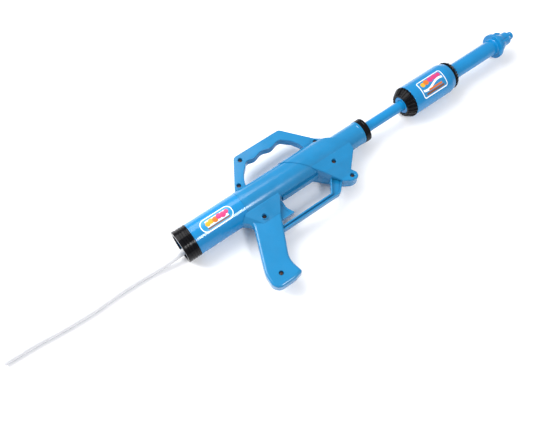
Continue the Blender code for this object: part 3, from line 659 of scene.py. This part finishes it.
def printed(name, bounds, corner, art, ground):
    """Printed label: pale border, coloured ground, and plain dots and bands for its art."""
    net = Nodes(name)
    split = net.add("ShaderNodeSeparateXYZ")
    net.join(net.place, split.inputs[0])
    x0, x1, y0, y1 = bounds
    middle = at((x0 + x1) / 2.0, (y0 + y1) / 2.0, 0.0)
    along = net.maths("DIVIDE", net.maths("SUBTRACT", split.outputs[0], middle.x), MM)
    across = net.maths("DIVIDE", net.maths("SUBTRACT", split.outputs[1], middle.y), MM)

    ink = net.cloudy(900.0, 3.0, 0.6)
    tint = net.mix(ink, scaled(ground, 0.9), scaled(ground, 1.12))
    for x, y, size, colour, *band in art:
        past_x = net.maths("SUBTRACT", along, x)
        past_y = net.maths("SUBTRACT", across, y)
        if band:
            reach, turn, height = band
            wave = net.maths("MULTIPLY", net.maths("SINE", net.maths("MULTIPLY", along, turn)), height)
            far = net.maths("ABSOLUTE", net.maths("SUBTRACT", past_y, wave))
            span = net.within(net.maths("ABSOLUTE", past_x), reach, ART_BLUR)
            mask = net.maths("MULTIPLY", net.within(far, size, ART_BLUR), span)
        else:
            mask = net.within(net.distance(past_x, past_y), size, ART_BLUR)
        tint = net.mix(mask, tint, colour)

    overhang = []
    for place, low, high in ((along, x0, x1), (across, y0, y1)):
        reach = (high - low) / 2.0 - LABEL_BORDER - corner
        past = net.maths("SUBTRACT", net.maths("ABSOLUTE", place), reach)
        overhang.append(net.maths("MAXIMUM", past, 0.0))
    border = net.ranged(net.distance(*overhang), corner - BORDER_BLUR, corner + BORDER_BLUR)
    tint = net.mix(border, tint, WHITE)
    specks = net.ranged(net.noise(2400.0, 2.0, 0.5), 0.66, 0.74)
    tint = net.mix(net.maths("MULTIPLY", specks, 0.25), tint, (0.55, 0.58, 0.62))
    dull = net.cloudy(120.0, 4.0, 0.6, 0.26, 0.40)
    return net.finish(tint, dull, net.bump(net.noise(1500.0, 3.0, 0.6), 0.15, 0.02))


def studio_floor():
    """Plain, very slightly uneven backdrop."""
    net = Nodes("studio_floor")
    tint = net.mix(net.cloudy(9.0, 3.0, 0.5), (0.90, 0.90, 0.915), (0.92, 0.92, 0.93))
    return net.finish(tint, net.cloudy(30.0, 3.0, 0.5, 0.75, 0.85), Specular_IOR_Level=0.1)


# ---------------------------------------------------------------- camera, lights and floor

def aim(obj, source, target):
    """Puts a camera or lamp at the source, looking at the target."""
    obj.location = source
    obj.rotation_euler = (Vector(target) - Vector(source)).to_track_quat("-Z", "Y").to_euler()


def camera():
    data = bpy.data.cameras.new("camera")
    data.lens = CAMERA_LENS
    data.sensor_fit = "HORIZONTAL"
    data.sensor_width = 36.0
    data.clip_start = 0.01
    obj = bpy.data.objects.new("camera", data)
    bpy.context.scene.collection.objects.link(obj)
    target = at(*CAMERA_TARGET)
    azimuth, elevation = math.radians(CAMERA_AZIMUTH), math.radians(CAMERA_ELEVATION)
    back = Vector((
        math.sin(azimuth) * math.cos(elevation),
        -math.cos(azimuth) * math.cos(elevation),
        math.sin(elevation),
    ))
    aim(obj, target + back * CAMERA_DISTANCE, target)
    bpy.context.scene.camera = obj


def lamp(name, source, target, size, power, colour=(1.0, 1.0, 1.0)):
    data = bpy.data.lights.new(name, "AREA")
    data.shape = "RECTANGLE"
    data.size, data.size_y = size
    data.energy = power
    data.color = colour
    obj = bpy.data.objects.new(name, data)
    bpy.context.scene.collection.objects.link(obj)
    aim(obj, source, target)


def lamps():
    """A broad key lamp from behind, and two small ones for the glints along the barrel and grip."""
    middle = at(*LAMP_TARGET)
    lamp("key", middle + Vector((-0.5, 1.1, 1.35)), middle, (1.8, 1.4), 36.0, (1.0, 0.99, 0.98))
    front = middle + Vector((0.05, 0.0, 0.0))
    lamp("window", front + Vector((0.0, -0.85, 1.15)), front, (0.28, 0.34), 9.5)
    lamp("side", at(-479.0, 516.0, 507.0), at(80.0, -68.0, 8.0), (0.42, 0.42), 5.5)


def studio():
    """Pale surroundings and floor, with soft lamps."""
    bpy.context.scene.view_settings.view_transform = "Standard"
    world = bpy.data.worlds.new("studio")
    world.use_nodes = True
    background = world.node_tree.nodes["Background"]
    background.inputs["Color"].default_value = (0.96, 0.97, 1.0, 1.0)
    background.inputs["Strength"].default_value = 0.62
    bpy.context.scene.world = world
    lamps()
    mesh = bpy.data.meshes.new("floor")
    shape = bmesh.new()
    bmesh.ops.create_grid(shape, x_segments=24, y_segments=24, size=FLOOR_REACH)
    shape.to_mesh(mesh)
    shape.free()
    floor = scratch(mesh)
    floor.name = "floor"
    mesh.materials.append(studio_floor())


# ---------------------------------------------------------------- hose

def smooth_route(points, steps):
    """Catmull-Rom curve through the points, kept off the floor."""
    ends = [points[0], *points, points[-1]]
    route = []
    for a, b, c, d in zip(ends, ends[1:], ends[2:], ends[3:]):
        a, b, c, d = Vector(a), Vector(b), Vector(c), Vector(d)
        for step in range(steps):
            t = step / steps
            route.append(
                (2 * b + (c - a) * t + (2 * a - 5 * b + 4 * c - d) * t ** 2
                 + (3 * b - a - 3 * c + d) * t ** 3) / 2
            )
    route.append(Vector(points[-1]))
    for point in route:
        point.z = max(point.z, HOSE_FLOOR)
    return route


def swept(route, outer, inner, sides=56):
    """Tube along the route: its outer wall out to the far end, and its inner wall back again."""
    places = []
    side = Vector((0.0, 1.0, 0.0))
    for i, point in enumerate(route):
        ahead = (route[min(i + 1, len(route) - 1)] - route[max(i - 1, 0)]).normalized()
        side = (side - ahead * side.dot(ahead)).normalized()
        places.append((point, side, ahead.cross(side)))
    shape = bmesh.new()
    rings = []
    for radius, stations in ((outer, places), (inner, places[::-1])):
        for point, right, up in stations:
            rings.append([
                shape.verts.new((
                    point + right * radius * math.cos(math.tau * k / sides)
                    + up * radius * math.sin(math.tau * k / sides)
                ) * MM)
                for k in range(sides)
            ])
    for a, b in zip(rings, rings[1:] + rings[:1]):
        for k in range(sides):
            shape.faces.new((a[k], a[(k + 1) % sides], b[(k + 1) % sides], b[k]))
    bmesh.ops.recalc_face_normals(shape, faces=shape.faces)
    mesh = bpy.data.meshes.new("swept")
    shape.to_mesh(mesh)
    shape.free()
    return scratch(mesh)


def hose(materials):
    """Clear hose swept along its route, and a coarser list of points along it that nothing uses."""
    obj = swept(smooth_route(HOSE_ROUTE, 8), HOSE_RADIUS, HOSE_BORE)
    piece(obj, "clear_hose", "gun", materials["clear"], ["suction_hose"], 50.0)
    path = [at(*point) for point in smooth_route(HOSE_ROUTE, 3)]


# ---------------------------------------------------------------- rear tube and labels

def end_collar(materials):
    """Collar on the open end, with four shallow grooves round it and a lip at the mouth."""
    floor = COLLAR_RADIUS - 0.75
    outer = [(0.0, COLLAR_RADIUS, 0.7)]
    for x in (6.0, 9.5, 13.5, 16.0):
        outer += [
            (x - 0.75, COLLAR_RADIUS, 0.25), (x - 0.35, floor, 0.15),
            (x + 0.35, floor, 0.15), (x + 0.75, COLLAR_RADIUS, 0.25),
        ]
    outer.append((19.0, COLLAR_RADIUS, 0.4))
    inner = [(19.0, 21.5, 0.0), (1.7, 21.5, 0.0), (1.7, 17.5, 0.25), (0.0, 17.5, 0.35)]
    collar = lathe(outer + inner, 128, 2)
    piece(collar, "end_collar", "gun", materials["black"], ["rear_collar"])


def air_tube(materials):
    """Tube with a fine line behind the collar and a spigot inside the housing."""
    tube = lathe([
        (2.0, 21.2, 0.0), (19.3, 21.2, 0.0), (19.3, TUBE_RADIUS, 0.3),
        (20.9, TUBE_RADIUS, 0.2), (21.2, 22.45, 0.1), (21.6, 22.45, 0.1), (21.9, TUBE_RADIUS, 0.2),
        (TUBE_END, TUBE_RADIUS, 0.2), (TUBE_END, TUBE_SPIGOT, 0.0), (107.0, TUBE_SPIGOT, 0.4),
        (107.0, 18.9, 0.0), (95.0, 18.9, 0.0), (93.0, 20.8, 0.0), (22.3, 20.8, 0.0),
        (19.3, 19.4, 0.0), (2.0, 19.4, 0.4),
    ], 144)
    piece(tube, "air_tube", "gun", materials["gloss"], ["rear_tube"])


def label(name, body, bounds, radius, corner, material, node):
    """Thin skin with rounded corners, cut from a ring that lies just off a round surface."""
    x0, x1, y0, y1 = bounds
    low, high = (radius + face for face in LABEL_FACES)
    skin = lathe(ring(x0 - 2.0, x1 + 2.0, low, high), 180)
    outline = ((x0, y0, corner), (x1, y0, corner), (x1, y1, corner), (x0, y1, corner))
    skin = combine(skin, "INTERSECT", [slab([rounded(outline, 8)], 2.0, THROUGH)])
    piece(skin, name, body, material, [node])


# ---------------------------------------------------------------- housing

def hand_hole():
    """Outline of the hand hole: sloping ends, and a top edge that waves between the fingers."""
    points = [(118.5, 15.5), (119.2, 22.2), (121.8, 29.3), (125.5, 36.0), (130.2, 41.8), (135.0, 45.8)]
    for step in range(33):
        x = 136.0 + step * 1.95
        wave = 1.6 * math.cos((x - 166.2) / FINGER_PITCH * math.tau)
        points.append((x, 51.3 + wave - 0.055 * max(0.0, 146.0 - x) ** 2))
    points += [(209.5, 42.0), (215.5, 31.5), (217.5, 24.0), (218.0, 15.5)]
    return [Vector(point) for point in points]


def lengthwise(section, middle, reach):
    """Bar along the barrel with a (height, y) section, reaching both ways from its middle."""
    bar = slab([rounded(section)], -reach, reach)
    turn = Matrix.Rotation(math.radians(90.0), 4, "Y")
    bar.data.transform(Matrix.Translation((middle * MM, 0.0, 0.0)) @ turn)
    return bar


def shield():
    """Cover over the joint: nested layers, each a little lower and wider, ease its rim."""
    body = None
    for drop, margin in ((0.0, 0.8), (0.25, 0.35), (0.8, 0.0)):
        start, end = SHIELD_MIDDLE - SHIELD_REACH, SHIELD_MIDDLE + SHIELD_REACH
        layer = lathe(ring(start, end, 0.0, SHIELD_RADIUS - drop), 96)
        section = tuple((z - math.copysign(drop, z), y, turn) for z, y, turn in SHIELD_SECTION)
        layer = combine(layer, "UNION", [lengthwise(section, SHIELD_MIDDLE, SHIELD_REACH)])
        outline = rounded(inset(SHIELD_OUTLINE, margin))
        layer = combine(layer, "INTERSECT", [slab([outline], -THROUGH, THROUGH)])
        body = layer if body is None else combine(body, "UNION", [layer])
    return body


def shield_hollow():
    """Hollow under the cover's lower half, with a wall left round it."""
    lower = tuple(corner for corner in SHIELD_OUTLINE if corner[1] < -20.0)
    lower = ((208.0, -17.0, 0.0), *lower, (266.0, -17.0, 0.0))
    outline = slab([rounded(inset(lower, WALL), 3)], -THROUGH, THROUGH)
    section = inset(SHIELD_SECTION, WALL)
    return combine(outline, "INTERSECT", [lengthwise(section, SHIELD_MIDDLE, SHIELD_REACH)])


def shoulder_block(shrink=0.0):
    """Tapered block over the grip, or its hollow if shrunk by a wall."""
    block = slab([rounded(inset(BLOCK_OUTLINE, shrink))], -BLOCK_HALF - 2.0, BLOCK_HALF + 2.0)
    taper = lengthwise(inset(BLOCK_SECTION, shrink), BLOCK_MIDDLE, BLOCK_REACH)
    wedge = slab([rounded(inset(BLOCK_CORNER_SECTION, shrink))], -80.0, 80.0)
    turn = math.radians(BLOCK_CORNER_TURN)
    outward = Vector((math.cos(turn), math.sin(turn), 0.0))
    upward = Vector((0.0, 0.0, 1.0))
    axes = Matrix((upward, outward, upward.cross(outward))).transposed().to_4x4()
    x, y = BLOCK_CORNER
    wedge.data.transform(Matrix.Translation((x * MM, y * MM, 0.0)) @ axes)
    return combine(block, "INTERSECT", [taper, wedge])


def barrel():
    """Barrel with its neck and the step under the front ring, flat underneath at the keel."""
    body = lathe([
        (95.3, 0.0, 0.0), (95.3, BARREL_RADIUS, 0.0), (235.0, BARREL_RADIUS, 4.0),
        (245.0, NECK_RADIUS, 4.0), (293.6, NECK_RADIUS, 0.3), (294.2, 17.0, 0.3),
        (297.4, 17.0, 0.4), (298.0, 16.4, 0.0), (298.0, 15.2, 0.0), (306.0, 15.2, 0.0),
        (306.0, 0.0, 0.0),
    ], 128)
    start, end = KEEL_SPAN
    keel = block_between((start, KEEL - 10.0, -THROUGH), (end, KEEL, THROUGH))
    return combine(body, "DIFFERENCE", [keel])


def housing_blank():
    """The outside of both shells as one solid."""
    start, end = RAIL_SPAN
    inner = KEEL + 0.4
    rail = slab([rounded((
        (start, RAIL_FACE, 0.8), (end, RAIL_FACE, 0.0), (end, inner, 0.0), (start, inner, 0.0),
    ))], -GUARD_HALF, GUARD_HALF, 0.5)
    handle = slab([rounded(HANDLE_OUTLINE), hand_hole()], -HANDLE_HALF, HANDLE_HALF, 1.0)
    grip = slab([rounded(GRIP_OUTLINE, 8)], -GRIP_HALF, GRIP_HALF, 3.4, 5)
    guard = slab([rounded(GUARD_OUTLINE)], -GUARD_HALF, GUARD_HALF, 0.8)
    return combine(barrel(), "UNION", [shoulder_block(), grip, guard, rail, handle, shield()])


def housing_cavities():
    """The bore from end to end, and the hollows of grip, block and cover."""
    bore = lathe([(x, radius, 0.0) for x, radius in (
        (67.3, 0.0), (67.3, TUBE_RADIUS + GAP), (TUBE_END + 0.1, TUBE_RADIUS + GAP),
        (TUBE_END + 0.1, TUBE_SPIGOT + 0.4), (108.5, TUBE_SPIGOT + 0.4), (108.5, BARREL_BORE),
        (227.0, BARREL_BORE), (239.0, NECK_BORE), (300.0, NECK_BORE), (300.0, ROD_HOLE),
        (311.0, ROD_HOLE), (311.0, 0.0),
    )], 96)
    wall = WALL + 0.4
    grip = slab([rounded(inset(GRIP_OUTLINE, wall), 3)], wall - GRIP_HALF, GRIP_HALF - wall)
    return [bore, grip, shoulder_block(WALL + 0.6), shield_hollow()]


def housing_fittings():
    """Rings about the rod's clamp, bosses for the trigger's pin, and the screws' posts and boss."""
    parts = []
    for start in CLAMP_RINGS:
        parts.append(lathe(ring(start, start + CLAMP_RING_WIDTH, ROD_HOLE, 19.5), 64))
    for side in (-1.0, 1.0):
        near, far = sorted((side * (TRIGGER_HALF + 0.7), side * PIN_BOSS_HALF))
        parts.append(post(*PIVOT, [(near, PIN_RADIUS + 2.0), (far, PIN_RADIUS + 2.0)]))
    for _, x, y, surface, _ in SCREWS:
        end = surface - POST_SUNK
        parts.append(post(x, y, [(-end, POST_RADIUS), (end, POST_RADIUS)]))
    parts.append(post(*GRIP_SCREW, [
        (GRIP_BOSS_TOP - 5.0, GRIP_BOSS_RADIUS), (GRIP_BOSS_TOP - 0.5, GRIP_BOSS_RADIUS),
        (GRIP_BOSS_TOP - 0.15, GRIP_BOSS_RADIUS - 0.2), (GRIP_BOSS_TOP, GRIP_BOSS_RADIUS - 0.6),
    ]))
    return parts


def housing_cuts():
    """The trigger's slot and pin hole, the screws' holes and the guard's channels."""
    cuts = [
        slab([rounded(SLOT_OUTLINE)], -TRIGGER_HALF - 0.5, TRIGGER_HALF + 0.5),
        post(*PIVOT, [(-PIN_HALF - GAP, PIN_RADIUS + GAP), (PIN_HALF + GAP, PIN_RADIUS + GAP)], 20),
    ]
    shank, head = SHANK_RADIUS + GAP, HEAD_RADIUS + GAP
    for _, x, y, surface, _ in SCREWS:
        seat = surface - HEAD_SUNK - HEAD_HEIGHT - GAP
        cuts.append(post(x, y, [
            (SHANK_END - GAP, shank), (seat, shank), (seat, head), (surface - 0.5, head),
            (surface, head + 0.5), (surface + 12.0, head + 0.6),
        ]))
    channel = rounded(inset(GUARD_OUTLINE, CHANNEL_MARGIN))
    for side in (-1.0, 1.0):
        low, high = sorted((side * (GUARD_HALF - CHANNEL_DEPTH), side * (GUARD_HALF + 1.0)))
        cuts.append(slab([channel], low, high))
    return cuts


def housing(materials):
    """Both shells: one solid, split along the joint with a fine seam."""
    body = combine(housing_blank(), "DIFFERENCE", housing_cavities())
    body = combine(body, "UNION", housing_fittings())
    body = combine(body, "DIFFERENCE", housing_cuts())
    other = scratch(body.data.copy())
    near, far = (0.0, -200.0), (600.0, 200.0)
    upper = block_between((*near, SEAM_HALF), (*far, 100.0))
    lower = block_between((*near, -100.0), (*far, -SEAM_HALF))
    right = combine(body, "INTERSECT", [upper])
    left = combine(other, "INTERSECT", [lower])
    piece(right, "shell_right", "gun", materials["satin"], ["housing_right"])
    piece(left, "shell_left", "gun", materials["satin"], ["housing_left"])


def screws(materials):
    """Pan-head screws, each with a cross in its head."""
    for node, x, y, surface, turn in SCREWS:
        top = surface - HEAD_SUNK
        seat = top - HEAD_HEIGHT
        screw = post(x, y, [
            (SHANK_END, SHANK_RADIUS * 0.6), (SHANK_END + 1.0, SHANK_RADIUS), (seat, SHANK_RADIUS),
            (seat, HEAD_RADIUS), (top - HEAD_HEIGHT * 0.45, HEAD_RADIUS),
            (top - HEAD_HEIGHT * 0.2, HEAD_RADIUS * 0.87),
            (top - HEAD_HEIGHT * 0.05, HEAD_RADIUS * 0.62), (top, HEAD_RADIUS * 0.3),
        ], 36)
        arms = []
        for extra in (0.0, 90.0):
            arm = block_between(
                (-CROSS_REACH, -CROSS_HALF, top - CROSS_DEPTH), (CROSS_REACH, CROSS_HALF, top + 1.0),
            )
            spin = Matrix.Rotation(math.radians(turn + extra), 4, "Z")
            arm.data.transform(Matrix.Translation((x * MM, y * MM, 0.0)) @ spin)
            arms.append(arm)
        screw = combine(screw, "DIFFERENCE", arms)
        piece(screw, node + "_steel", "gun", materials["screw"], [node])


def trigger(materials):
    """Blade with a hole for its pin, a round recess about it, and a sunk panel on each side."""
    blade = slab([rounded(TRIGGER_OUTLINE)], -TRIGGER_HALF, TRIGGER_HALF, 0.6)
    hole = post(*PIVOT, [(-10.0, PIN_RADIUS + GAP), (10.0, PIN_RADIUS + GAP)], 24)
    recess = post(*PIVOT, [(TRIGGER_HALF - 3.2, 5.6), (TRIGGER_HALF + 3.0, 5.6)], 40)
    panels = []
    for side in (-1.0, 1.0):
        low, high = sorted((side * (TRIGGER_HALF - 0.9), side * (TRIGGER_HALF + 2.0)))
        panels.append(slab([rounded(TRIGGER_PANEL)], low, high))
    blade = combine(blade, "DIFFERENCE", [hole, recess, *panels])
    piece(blade, "trigger_blade", "trigger_lever", materials["satin"], ["trigger"])


# ---------------------------------------------------------------- rod, cylinder, grip and nozzle

def front_ring(materials):
    """Ring round the noses of both shells, with one groove."""
    radius = FRONT_RING_RADIUS
    shape = lathe([
        (298.3, radius, 0.3), (302.0, radius, 0.2), (302.4, radius - 0.4, 0.15),
        (303.2, radius - 0.4, 0.15), (303.6, radius, 0.2), (306.6, radius, 0.6),
        (307.5, 15.6, 0.5), (307.5, 8.6, 0.3), (306.3, 8.6, 0.0), (306.3, 15.5, 0.0),
        (298.3, 15.5, 0.0),
    ], 112)
    piece(shape, "front_ring", "gun", materials["black"], ["front_collar"])


def slide_rod(materials):
    """Hollow rod from its clamp in the housing to the piston in the cylinder."""
    tube = lathe(ring(150.0, 473.7, ROD_BORE, ROD_RADIUS, 0.3), 64)
    piece(tube, "slide_rod", "gun", materials["gloss"], ["rod_tube"])


def rod_gland(materials):
    """Bush at the cylinder's rear end, which slides on the rod."""
    bush = lathe([
        (375.5, ROD_HOLE, 0.4), (375.5, 12.6, 0.8), (386.0, 12.6, 0.0), (386.0, 9.0, 0.0),
        (391.0, 9.0, 0.4), (391.0, ROD_HOLE, 0.0),
    ], 80)
    piece(bush, "rod_gland", "pump_slide", materials["gloss"], ["cylinder_gland"])


def air_cylinder(materials):
    """Cylinder with its flange, and a spigot for the nozzle with the outlet valve's seat."""
    tube = lathe([
        (386.3, 9.3, 0.0), (386.3, 11.5, 0.2), (554.3, 11.5, 0.0), (555.5, 12.7, 0.0),
        (555.5, 18.6, 0.5), (559.5, 18.6, 0.5), (559.5, 8.4, 0.0), (573.0, 8.4, 0.3),
        (573.0, 3.7, 0.0), (564.5, 3.7, 0.0), (564.5, 2.4, 0.0), (553.5, 2.4, 0.0),
        (553.5, 9.3, 0.0),
    ], 112)
    piece(tube, "air_cylinder", "pump_slide", materials["gloss"], ["pump_cylinder"])


def grip_shell(materials):
    """Sleeve round the cylinder, drawn in at its front end."""
    sleeve = lathe([
        (387.3, 20.2, 0.0), (387.3, SLEEVE_RADIUS, 0.5), (454.0, SLEEVE_RADIUS, 9.0),
        (462.0, 20.3, 0.8), (462.0, 18.2, 0.0), (456.0, 18.2, 0.0), (452.0, 20.2, 0.0),
    ], 144, 6)
    piece(sleeve, "grip_shell", "pump_slide", materials["gloss"], ["grip_sleeve"])


def ribbed(corners, depth, start, end, inside):
    """Turned cap with ribs round it, between two places and outside a radius."""
    def radius_at(x, radius, angle):
        if not start - 0.01 <= x <= end + 0.01 or radius < inside:
            return radius
        wave = 0.5 + 0.5 * math.cos(CAP_RIBS * angle)
        rise = min(1.0, max(0.0, (wave - 0.28) / 0.34))
        rise = rise * rise * (3.0 - 2.0 * rise)
        return radius - depth * (1.0 - rise)

    return lathe(corners, CAP_RIBS * 12, 3, radius_at)


def grip_caps(materials):
    """Ribbed caps that close both ends of the sleeve."""
    rear = ribbed([
        (375.0, 12.9, 0.3), (375.0, 16.8, 0.7), (384.2, 22.8, 1.0), (387.0, 22.8, 0.3),
        (387.0, 19.9, 0.0), (391.0, 19.9, 0.0), (391.0, 17.5, 0.0), (386.0, 17.5, 0.0),
        (378.0, 12.9, 0.0),
    ], 1.6, 375.0, 387.0, 15.8)
    piece(rear, "grip_cap_rear", "pump_slide", materials["black"], ["grip_rear_cap"])
    front = ribbed([
        (456.0, 15.5, 0.0), (456.0, 17.9, 0.0), (462.3, 17.9, 0.0), (462.3, 20.8, 0.3),
        (465.2, 20.8, 0.8), (470.0, 18.0, 0.6), (470.0, 11.8, 0.3), (467.0, 11.8, 0.0),
        (467.0, 15.5, 0.0),
    ], 1.7, 462.3, 470.0, 17.3)
    piece(front, "grip_cap_front", "pump_slide", materials["black"], ["grip_front_cap"])


def nozzle_nut(materials):
    """Stepped cap that tapers to the tip, with lugs round its foot."""
    cap = lathe([
        (559.8, 8.7, 0.0), (559.8, 12.4, 0.4), (568.5, 12.2, 1.5), (574.0, 10.2, 1.5),
        (583.6, 9.7, 0.6), (584.5, 8.6, 0.4), (584.5, 6.0, 0.2), (576.9, 6.0, 0.0),
        (576.9, 8.7, 0.0),
    ], 96)
    outline = rounded((
        (559.8, 9.4, 0.0), (559.8, 16.2, 0.8), (577.0, 16.0, 1.8), (581.0, 13.0, 1.8),
        (582.5, 9.4, 0.0),
    ))
    lugs = []
    for turn in range(LUGS):
        lug = slab([outline], -1.6, 1.6, 0.45)
        lug.data.transform(Matrix.Rotation(math.tau * turn / LUGS, 4, "X"))
        lugs.append(lug)
    cap = combine(cap, "UNION", lugs)
    piece(cap, "nozzle_nut", "pump_slide", materials["gloss"], ["nozzle_cap"])


def nozzle_spout(materials):
    """Tip with a groove behind its rounded end."""
    tip = lathe([
        (573.3, 3.1, 0.0), (573.3, 8.4, 0.2), (576.6, 8.4, 0.0), (576.6, 5.7, 0.2),
        (587.2, 5.7, 0.2), (587.8, 5.2, 0.2), (588.8, 5.2, 0.2), (589.4, 6.0, 0.2),
        (593.2, 5.9, 0.9), (593.2, 1.6, 0.3), (579.3, 1.6, 0.0), (577.3, 3.1, 0.0),
    ], 64)
    piece(tip, "nozzle_spout", "pump_slide", materials["gloss"], ["nozzle_tip"])


def inner_parts(materials):
    """Pieces out of sight keep their CAD shape and take a finish."""
    finishes = {
        "rod_clamp": "black", "hose_connector": "white", "piston_head": "white",
        "piston_seal": "rubber", "inlet_valve_ball": "ball", "outlet_valve_ball": "ball",
        "trigger_pin": "ball", "trigger_spring": "ball",
    }
    for node, finish in finishes.items():
        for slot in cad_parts[node].material_slots:
            slot.material = materials[finish]


camera()
materials = {
    "clear": clear_vinyl_painted_shade(),
    "gloss": moulded(
        "blue_gloss", (0.005, 0.186, 0.43), 0.14, grain=0.08, wave=0.015, scuff=0.25, spread=0.06,
        Coat_Weight=0.15, Coat_Roughness=0.05, Specular_IOR_Level=0.3,
    ),
    "satin": moulded(
        "blue_satin", (0.007, 0.168, 0.365), 0.18, grain=0.14, wave=0.04, scuff=0.30, spread=0.07,
        Specular_IOR_Level=0.45,
    ),
    "black": moulded(
        "black_plastic", (0.003, 0.003, 0.004), 0.14, grain=0.12, wave=0.04, scuff=0.08,
        spread=0.25, Specular_IOR_Level=0.13,
    ),
    "white": moulded(
        "white_plastic", (0.74, 0.77, 0.80), 0.38, grain=0.2, wave=0.1, scuff=0.2, spread=0.04,
    ),
    "screw": metal("screw_steel", (0.16, 0.14, 0.14), 0.42, (0.20, 0.06, 0.02)),
    "ball": metal("bright_steel", (0.62, 0.63, 0.65), 0.26),
    "rubber": soft_rubber(),
    "tube_print": printed("print_tube", TUBE_LABEL, 7.3, TUBE_ART, (0.010, 0.24, 0.48)),
    "grip_print": printed("print_grip", GRIP_LABEL, 1.9, GRIP_ART, (0.008, 0.19, 0.42)),
}
hose(materials)
studio()
end_collar(materials)
air_tube(materials)
label("label_tube", "gun", TUBE_LABEL, TUBE_RADIUS, 8.4, materials["tube_print"], "tube_label")
housing(materials)
screws(materials)
front_ring(materials)
slide_rod(materials)
rod_gland(materials)
air_cylinder(materials)
grip_shell(materials)
grip_caps(materials)
label(
    "label_grip", "pump_slide", GRIP_LABEL, SLEEVE_RADIUS, 3.0, materials["grip_print"],
    "grip_label",
)
nozzle_nut(materials)
nozzle_spout(materials)
trigger(materials)
inner_parts(materials)
